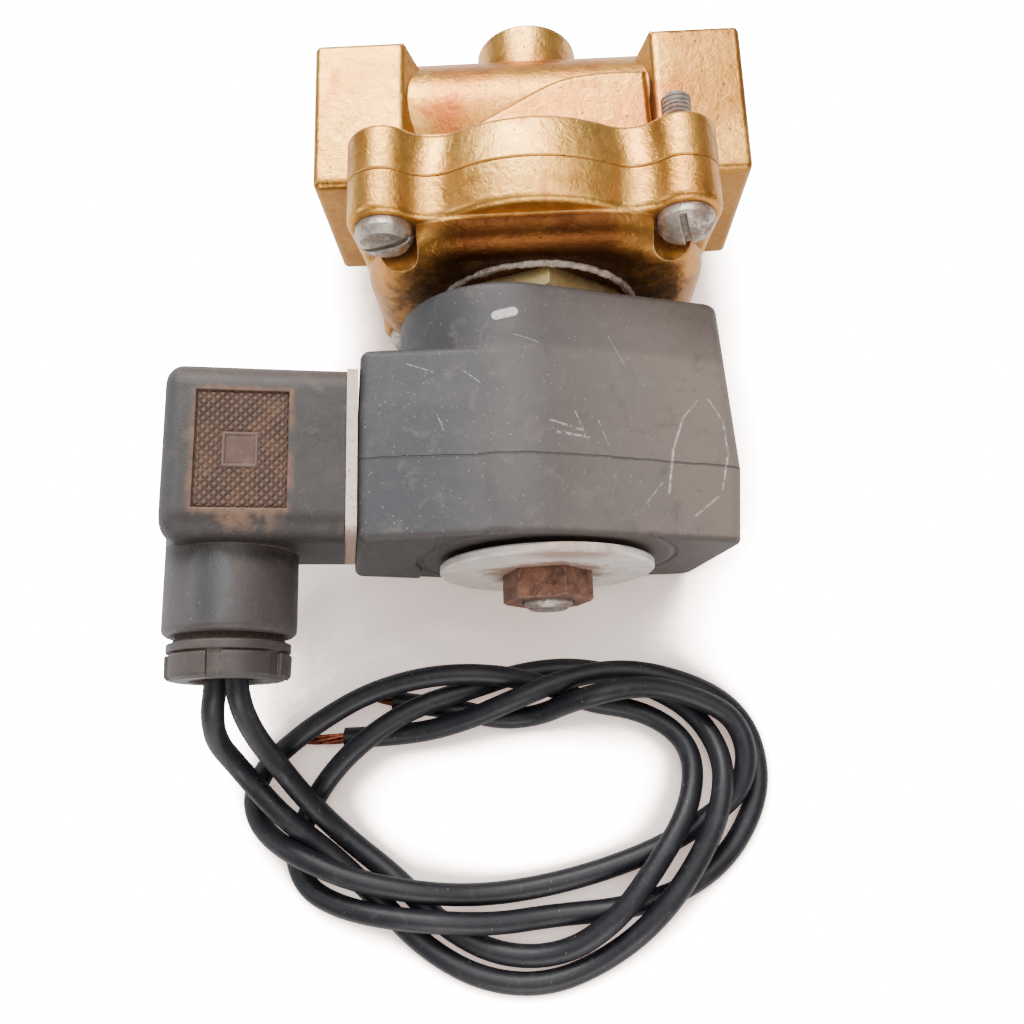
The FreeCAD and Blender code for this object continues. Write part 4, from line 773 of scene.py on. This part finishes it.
# ------------------------------------------------------------------ leads
def pvc(name):
    m = Mat(name)
    big = m.noise(9, 4, 0.6, 0.3)
    mid = m.noise(1.8, 5, 0.6, 0.3, off=(2, 8, 2))
    fine = m.noise(0.25, 3, 0.65)
    base = m.ramp(big, [(0.32, (0.0055, 0.0055, 0.008)), (0.55, (0.009, 0.009, 0.013)), (0.75, (0.016, 0.015, 0.019))])
    base = m.mix(m.mul(m.mask(mid, 0.56, 0.72), 0.40), base, (0.040, 0.037, 0.039))
    spk = m.mul(m.mask(m.voronoi(1.3), 0.13, 0.05), m.mask(m.noise(2.2, 3, 0.6, off=(5, 5, 1)), 0.52, 0.62))
    base = m.mix(m.mul(spk, 0.6), base, (0.20, 0.18, 0.17))
    gr = m.corner_dirt_and_shade(1.0, 0.2, 0.8)
    base = m.mix(m.mul(gr, 0.35), base, (0.012, 0.011, 0.011))
    rough = m.lerp(mid, 0.38, 0.54)
    n = m.bump(mid, 0.07, 0.45)
    n = m.bump(fine, 0.03, 0.6, n)
    return m.done(base, rough, 0.0, n, Specular_IOR_Level=0.36)


pvc_mat = pvc("lead_pvc")
paint("inner_wires", pvc_mat)


def strand():
    m = Mat("copper_strand")
    mid = m.noise(0.7, 4, 0.6)
    base = m.ramp(mid, [(0.3, (0.15, 0.035, 0.018)), (0.5, (0.30, 0.085, 0.042)), (0.75, (0.52, 0.18, 0.09))])
    # crowded places darkened: dirt, and painted shade
    base = m.mix(m.mul(m.corner_dirt_and_shade(0.5, 0.2, 0.8), 0.7), base, (0.06, 0.02, 0.012))
    return m.done(base, m.lerp(mid, 0.28, 0.45), 0.95, m.bump(mid, 0.02, 0.5))


copper_mat = strand()


# ------------------------------------------------------------------ leads
# points of the leads' routes, row frame, millimetres
LEAD_A = [
    (-36.405, -53.527, 27.874), (-36.405, -58.796, 27.301), (-36, -62.9, 24), (-35.3, -66.3, 16.8), (-33.6, -69.6, 9.4),
    (-29.6, -74.8, 6.3), (-23.3, -81, 2.2), (-14.8, -87.4, 1.8), (-7.4, -94.9, 2.1), (2.1, -99.8, 1.8),
    (12.7, -99.7, 2.9), (21.4, -94.4, 5.7), (28.3, -86.1, 6.2), (33.4, -78.9, 5.1), (35.5, -72.6, 3.3),
    (35.2, -67.7, 2), (32.1, -63.8, 1.8), (26.2, -60.8, 2), (18.1, -59.4, 1.8), (11, -56.3, 3.8),
    (1.3, -54.9, 7.8), (-9.2, -55, 8.2), (-19.6, -57.3, 6.8), (-28.2, -61.9, 5.9), (-33.9, -65.9, 4.8),
    (-37.7, -69, 3.3), (-39.9, -73.6, 2.3), (-38.4, -78, 3), (-34.8, -81.2, 5.1), (-29.7, -84, 7.3),
    (-21.7, -87.5, 7), (-11.2, -89.8, 5.8), (-1.1, -90.5, 2.9), (9.2, -89.4, 1.8), (19.5, -87.1, 2),
    (29.6, -83.7, 1.8), (37.9, -79.2, 2), (42.9, -75.2, 4.1), (44.6, -69.3, 5.4), (42.7, -63.6, 6.2),
    (38, -60.7, 7.1), (30.6, -58.3, 8.4), (24, -58.5, 9.9), (18.7, -59.7, 10.4), (14.6, -60.3, 7),
    (9.6, -61.5, 2.2), (3, -62, 1.8), (-5.3, -59.7, 1.8), (-15.9, -58.1, 1.8),
]
LEAD_B = [
    (-39.848, -53.375, 26.482), (-39.848, -58.644, 25.909), (-41.1, -63, 23.2), (-42.1, -66.3, 16.5), (-40.9, -68.7, 10.6),
    (-37.7, -72.8, 7.8), (-32.7, -77.9, 6.8), (-25.3, -83.7, 2.9), (-17.8, -90.8, 1.8), (-10.3, -98.1, 1.9),
    (-0.9, -103.2, 1.8), (9.6, -104.2, 1.8), (19.7, -100.4, 2.1), (27.7, -94.5, 5.5), (34.6, -86.3, 6.2),
    (39.1, -77.8, 7.3), (40.4, -69.5, 5.4), (36.5, -61.2, 1.8), (28.1, -56.3, 1.8), (17.9, -53.1, 1.8),
    (7.3, -53.5, 1.8), (-2.2, -57, 4.5), (-12, -60, 6.2), (-21.2, -65.7, 5.6), (-27.7, -71.9, 2.7),
    (-30.9, -78, 1.8), (-32.3, -83.2, 1.9), (-30.2, -88.2, 2), (-25.7, -90.9, 3.4), (-19.1, -92.8, 5.4),
    (-9.4, -94.2, 6.3), (1.1, -94.9, 4.1), (11.1, -93.8, 1.8), (21.7, -93.2, 1.8), (32, -90.9, 2),
    (40.7, -85.2, 1.8), (46.5, -75.7, 1.9), (46.5, -66.9, 1.8), (43.1, -60.9, 2.4), (36, -57.1, 4.8),
    (25.6, -54.4, 5.8), (15.2, -55.7, 6.9), (5.9, -59.5, 8.4), (-3.8, -62.7, 4.9), (-13.8, -64.2, 2.1),
    (-24.3, -64.2, 1.8),
]
COPPER_A = [
    (-15.94, -58.07, 1.8), (-18.18, -57.49, 1.82), (-20.34, -56.67, 1.7), (-22.15, -55.8, 1.57),
]
COPPER_B = [
    (-24.32, -64.23, 1.77), (-27.19, -64.4, 1.82), (-30.06, -64.33, 1.71), (-32.53, -64.09, 1.6),
]


def nurbs(name, pts, bevel=0.0, res=6, bres=8):
    cu = bpy.data.curves.new(name, 'CURVE')
    cu.dimensions = '3D'
    cu.resolution_u = res
    cu.bevel_depth = bevel
    cu.bevel_resolution = bres
    cu.use_fill_caps = True
    sp = cu.splines.new('NURBS')
    sp.points.add(len(pts) - 1)
    for p, q in zip(sp.points, pts):
        p.co = (q[0] * 0.001, q[1] * 0.001, q[2] * 0.001, 1.0)
    sp.order_u = 3
    sp.use_endpoint_u = True
    return cu


def line_of(pts, res=12):
    """The points of the smooth line that a route's NURBS gives."""
    cu = nurbs("line_tmp", pts, 0.0, res)
    ob = bpy.data.objects.new("line_tmp", cu)
    bpy.context.scene.collection.objects.link(ob)
    me = bpy.data.meshes.new_from_object(ob)
    out = [v.co.copy() for v in me.vertices]
    bpy.data.meshes.remove(me)
    bpy.data.objects.remove(ob)
    bpy.data.curves.remove(cu)
    return out


def length_of(line):
    return sum((b - a).length for a, b in zip(line, line[1:]))


def tube(bm, line, rad, sides=8, twist=0.0):
    """A capped tube of radius rad (a number or a function of 0..1) along line, in bm."""
    rings = []
    up = Vector((0, 0, 1))
    n = len(line)
    for i, p in enumerate(line):
        t = (line[min(i + 1, n - 1)] - line[max(i - 1, 0)]).normalized()
        side = t.cross(up)
        if side.length < 1e-6:
            side = Vector((1, 0, 0))
        side.normalize()
        up2 = side.cross(t).normalized()
        r = rad(i / (n - 1)) if callable(rad) else rad
        ring = []
        for k in range(sides):
            a = 2 * math.pi * k / sides + twist * i
            ring.append(bm.verts.new(p + side * (r * math.cos(a)) + up2 * (r * math.sin(a))))
        rings.append(ring)
    for a, b in zip(rings, rings[1:]):
        for k in range(sides):
            f = bm.faces.new((a[k], a[(k + 1) % sides], b[(k + 1) % sides], b[k]))
            f.smooth = True
    bm.faces.new(rings[0][::-1])
    bm.faces.new(rings[-1])


def mesh_piece(name, bm, mat, body="valve", smooth=False):
    bmesh.ops.recalc_face_normals(bm, faces=bm.faces[:])
    me = bpy.data.meshes.new(name)
    bm.to_mesh(me)
    bm.free()
    if smooth:
        for p in me.polygons:
            p.use_smooth = True
    o = piece(name, me, mat, body)
    return o


# stripped ends: seven bright strands that fan a little as they leave the cut sleeve
def strands(name, route, seed, spread):
    rnd = random.Random(seed)
    line = line_of(route, 10)
    bm = bmesh.new()
    n = len(line)
    offs = [(0.0, 0.0)] + [(0.62 * math.cos(a), 0.62 * math.sin(a)) for a in [2 * math.pi * k / 6 for k in range(6)]]
    for j, (u, w) in enumerate(offs):
        fan = 1.0 + spread * rnd.uniform(0.2, 1.0)
        cut = n - rnd.randint(0, max(1, n // 6))
        drift = (rnd.uniform(-0.25, 0.25), rnd.uniform(-0.2, 0.1))
        pts = []
        for i in range(cut):
            f = i / (n - 1)
            t = (line[min(i + 1, n - 1)] - line[max(i - 1, 0)]).normalized()
            side = t.cross(Vector((0, 0, 1))).normalized()
            up = side.cross(t).normalized()
            a = 1.5 * f
            uu = (u * math.cos(a) - w * math.sin(a)) * (1 + (fan - 1) * f * f) + drift[0] * f * f
            ww = (u * math.sin(a) + w * math.cos(a)) * (1 - 0.25 * f) + drift[1] * f * f
            q = line[i] + side * (uu * 0.001) + up * (ww * 0.001)
            q.z = max(q.z, 0.00034)
            pts.append(q)
        tube(bm, pts, 0.00030, 8)
    return mesh_piece(name, bm, copper_mat)


strands_a = strands("strands_a", COPPER_A, 3, 0.55)
strands_b = strands("strands_b", COPPER_B, 8, 0.30)
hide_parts("copper_end_a")
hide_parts("copper_end_b")


def lead(name, pts, node):
    cu = nurbs(name, pts, 0.0018, 8, 7)
    o = piece(name, cu, pvc_mat)
    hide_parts(node)
    ln = length_of(line_of(pts, 16))
    print(name, "spline", round(ln * 1000, 1))
    return o


lead("lead_run_a", LEAD_A, "lead_a")
lead("lead_run_b", LEAD_B, "lead_b")


# ------------------------------------------------------------------ lime scale round the tube's nut
def scale_ring():
    m = Mat("scale_crust")
    mid = m.noise(1.2, 6, 0.7, 0.6)
    fine = m.noise(0.3, 4, 0.7)
    base = m.ramp(mid, [(0.28, (0.14, 0.095, 0.070)), (0.5, (0.33, 0.26, 0.21)), (0.72, (0.60, 0.54, 0.48))])
    base = m.mix(m.mul(m.mask(fine, 0.55, 0.68), 0.6), base, (0.74, 0.70, 0.66))
    # corners darkened: dirt, and painted shade
    base = m.mix(m.mul(m.corner_dirt_and_shade(0.8, 0.2, 0.85), 0.6), base, (0.08, 0.045, 0.03))
    mat = m.done(base, m.lerp(fine, 0.70, 0.92), 0.0, m.bump(m.add(m.mul(mid, 0.5), m.mul(fine, 0.5)), 0.18, 1.0))
    bm = bmesh.new()
    N, Mm = 260, 10
    rings = []
    for i in range(N):
        a = 2 * math.pi * i / N
        w = noise.fractal(Vector((math.cos(a) * 4, math.sin(a) * 4, 0.3)), 1.0, 2.0, 4)
        ring = []
        for k in range(Mm):
            b = 2 * math.pi * k / Mm
            rx = 0.62 + 0.22 * w
            rz = 0.62 + 0.30 * w
            r = 16.95 + rx * math.cos(b)
            z = 31.78 + rz * math.sin(b)
            d = noise.fractal(Vector((r * math.cos(a) * 1.1, r * math.sin(a) * 1.1, z * 1.1)), 0.9, 2.1, 4) * 0.26
            r += d * math.cos(b)
            z = max(z + d * math.sin(b), 31.30)
            ring.append(bm.verts.new(L(r * math.cos(a), r * math.sin(a), z)))
        rings.append(ring)
    for i in range(N):
        a, b = rings[i], rings[(i + 1) % N]
        for k in range(Mm):
            bm.faces.new((a[k], a[(k + 1) % Mm], b[(k + 1) % Mm], b[k]))
    return mesh_piece("scale_ring", bm, mat, smooth=True)


scale_ring()


# ------------------------------------------------------------------ knurled grip
def grip():
    """The cross-hatched pad of the plug: a diamond grid pressed in its recess, with a plain panel in the middle."""
    x0, x1, z0, z1 = -55.0, -41.7, 54.3, 72.3
    y_floor, y_top = 13.42, 13.95
    px0, px1, pz0, pz1 = -51.2, -46.0, 60.7, 66.1
    pitch = 1.35
    nx, nz = 126, 170
    bm = bmesh.new()
    grid = []
    for j in range(nz + 1):
        row = []
        for i in range(nx + 1):
            x = x0 + (x1 - x0) * i / nx
            z = z0 + (z1 - z0) * j / nz
            u = (x + z) / pitch
            v = (x - z) / pitch
            tu = abs((u % 1.0) - 0.5) * 2
            tv = abs((v % 1.0) - 0.5) * 2
            h = 1.0 - max(tu, tv) ** 2.2
            e = min(x - x0, x1 - x, z - z0, z1 - z)
            h *= min(1.0, max(0.0, e / 0.35))
            wear = 0.80 + 0.25 * noise.noise(Vector((x * 0.4, z * 0.4, 0.0)))
            h *= wear
            dx = max(px0 - x, x - px1)
            dz = max(pz0 - z, z - pz1)
            d = max(dx, dz)
            if d < 0.0:
                h = 0.30 if d < -0.45 else 0.72
            elif d < 0.35:
                h = h * d / 0.35
            y = y_floor + (y_top - y_floor) * max(0.0, min(1.0, h))
            row.append(bm.verts.new(K(x, y, z)))
        grid.append(row)
    for j in range(nz):
        for i in range(nx):
            f = bm.faces.new((grid[j][i], grid[j][i + 1], grid[j + 1][i + 1], grid[j + 1][i]))
            f.smooth = True
    m = Mat("grip_nylon", "coil")
    mid = m.noise(3.0, 6, 0.62, 0.4)
    fine = m.noise(0.35, 4, 0.7)
    hy = m.mask(m.y, 13.50, 13.90)
    base = m.mix(hy, (0.070, 0.030, 0.018), (0.098, 0.074, 0.062))
    base = m.mix(m.mul(m.mask(mid, 0.40, 0.62), 0.55), base, (0.150, 0.076, 0.044))
    base = m.mix(m.mul(m.mask(fine, 0.55, 0.70), m.inv(hy), 0.6), base, (0.22, 0.105, 0.055))
    # corners darkened: dirt, and painted shade
    base = m.mix(m.mul(m.corner_dirt_and_shade(0.7, 0.2, 0.9), 0.45), base, (0.050, 0.030, 0.022))
    mat = m.done(base, m.lerp(fine, 0.48, 0.72), 0.0, m.bump(fine, 0.08, 0.8))
    me = bpy.data.meshes.new("grip_pad")
    bmesh.ops.recalc_face_normals(bm, faces=bm.faces[:])
    bm.to_mesh(me)
    bm.free()
    o = piece("grip_pad", me, mat)
    # the sheet faces out of the plug
    n = me.polygons[len(me.polygons) // 2].normal
    out = (K(-48, 15, 60) - K(-48, 13, 60))
    if n.dot(out) < 0:
        me.flip_normals()
    return o


grip()

# ------------------------------------------------------------------ floor
def floor():
    m = Mat("floor", "own")
    base = m.ramp(m.noise(60, 3, 0.5), [(0.3, (0.90, 0.885, 0.88)), (0.7, (0.93, 0.92, 0.915))])
    # the floor glows for camera rays so that it reads white; ambient occlusion dims the glow and turns it pink near the
    # object: painted contact shadow
    ao = m.node("ShaderNodeAmbientOcclusion", samples=32)
    ao.inputs["Distance"].default_value = 0.032
    free_of_painted_shadow = m.mask(ao.outputs["AO"], 0.52, 0.90)
    lp = m.node("ShaderNodeLightPath")
    floor_glow_with_painted_shadow = m.mul(m.math('ADD', m.mul(m.math('POWER', free_of_painted_shadow, 1.4), 26.0), 0.55), lp.outputs["Is Camera Ray"])
    m.put(m.bsdf.inputs["Emission Color"], m.mix(free_of_painted_shadow, (1.0, 0.70, 0.58), (1.0, 0.995, 0.99)))
    mat = m.done(base, 0.75, 0.0, m.bump(m.noise(0.8, 3, 0.6), 0.02, 0.3), Specular_IOR_Level=0.25, Emission_Strength=floor_glow_with_painted_shadow)
    bm = bmesh.new()
    S = 1.6
    vs = [bm.verts.new((x, y, -0.0004)) for x, y in ((-S, -S), (S, -S), (S, S), (-S, S))]
    bm.faces.new(vs)
    me = bpy.data.meshes.new("floor")
    bm.to_mesh(me)
    bm.free()
    me.materials.append(mat)
    o = bpy.data.objects.new("floor", me)
    bpy.context.scene.collection.objects.link(o)


floor()
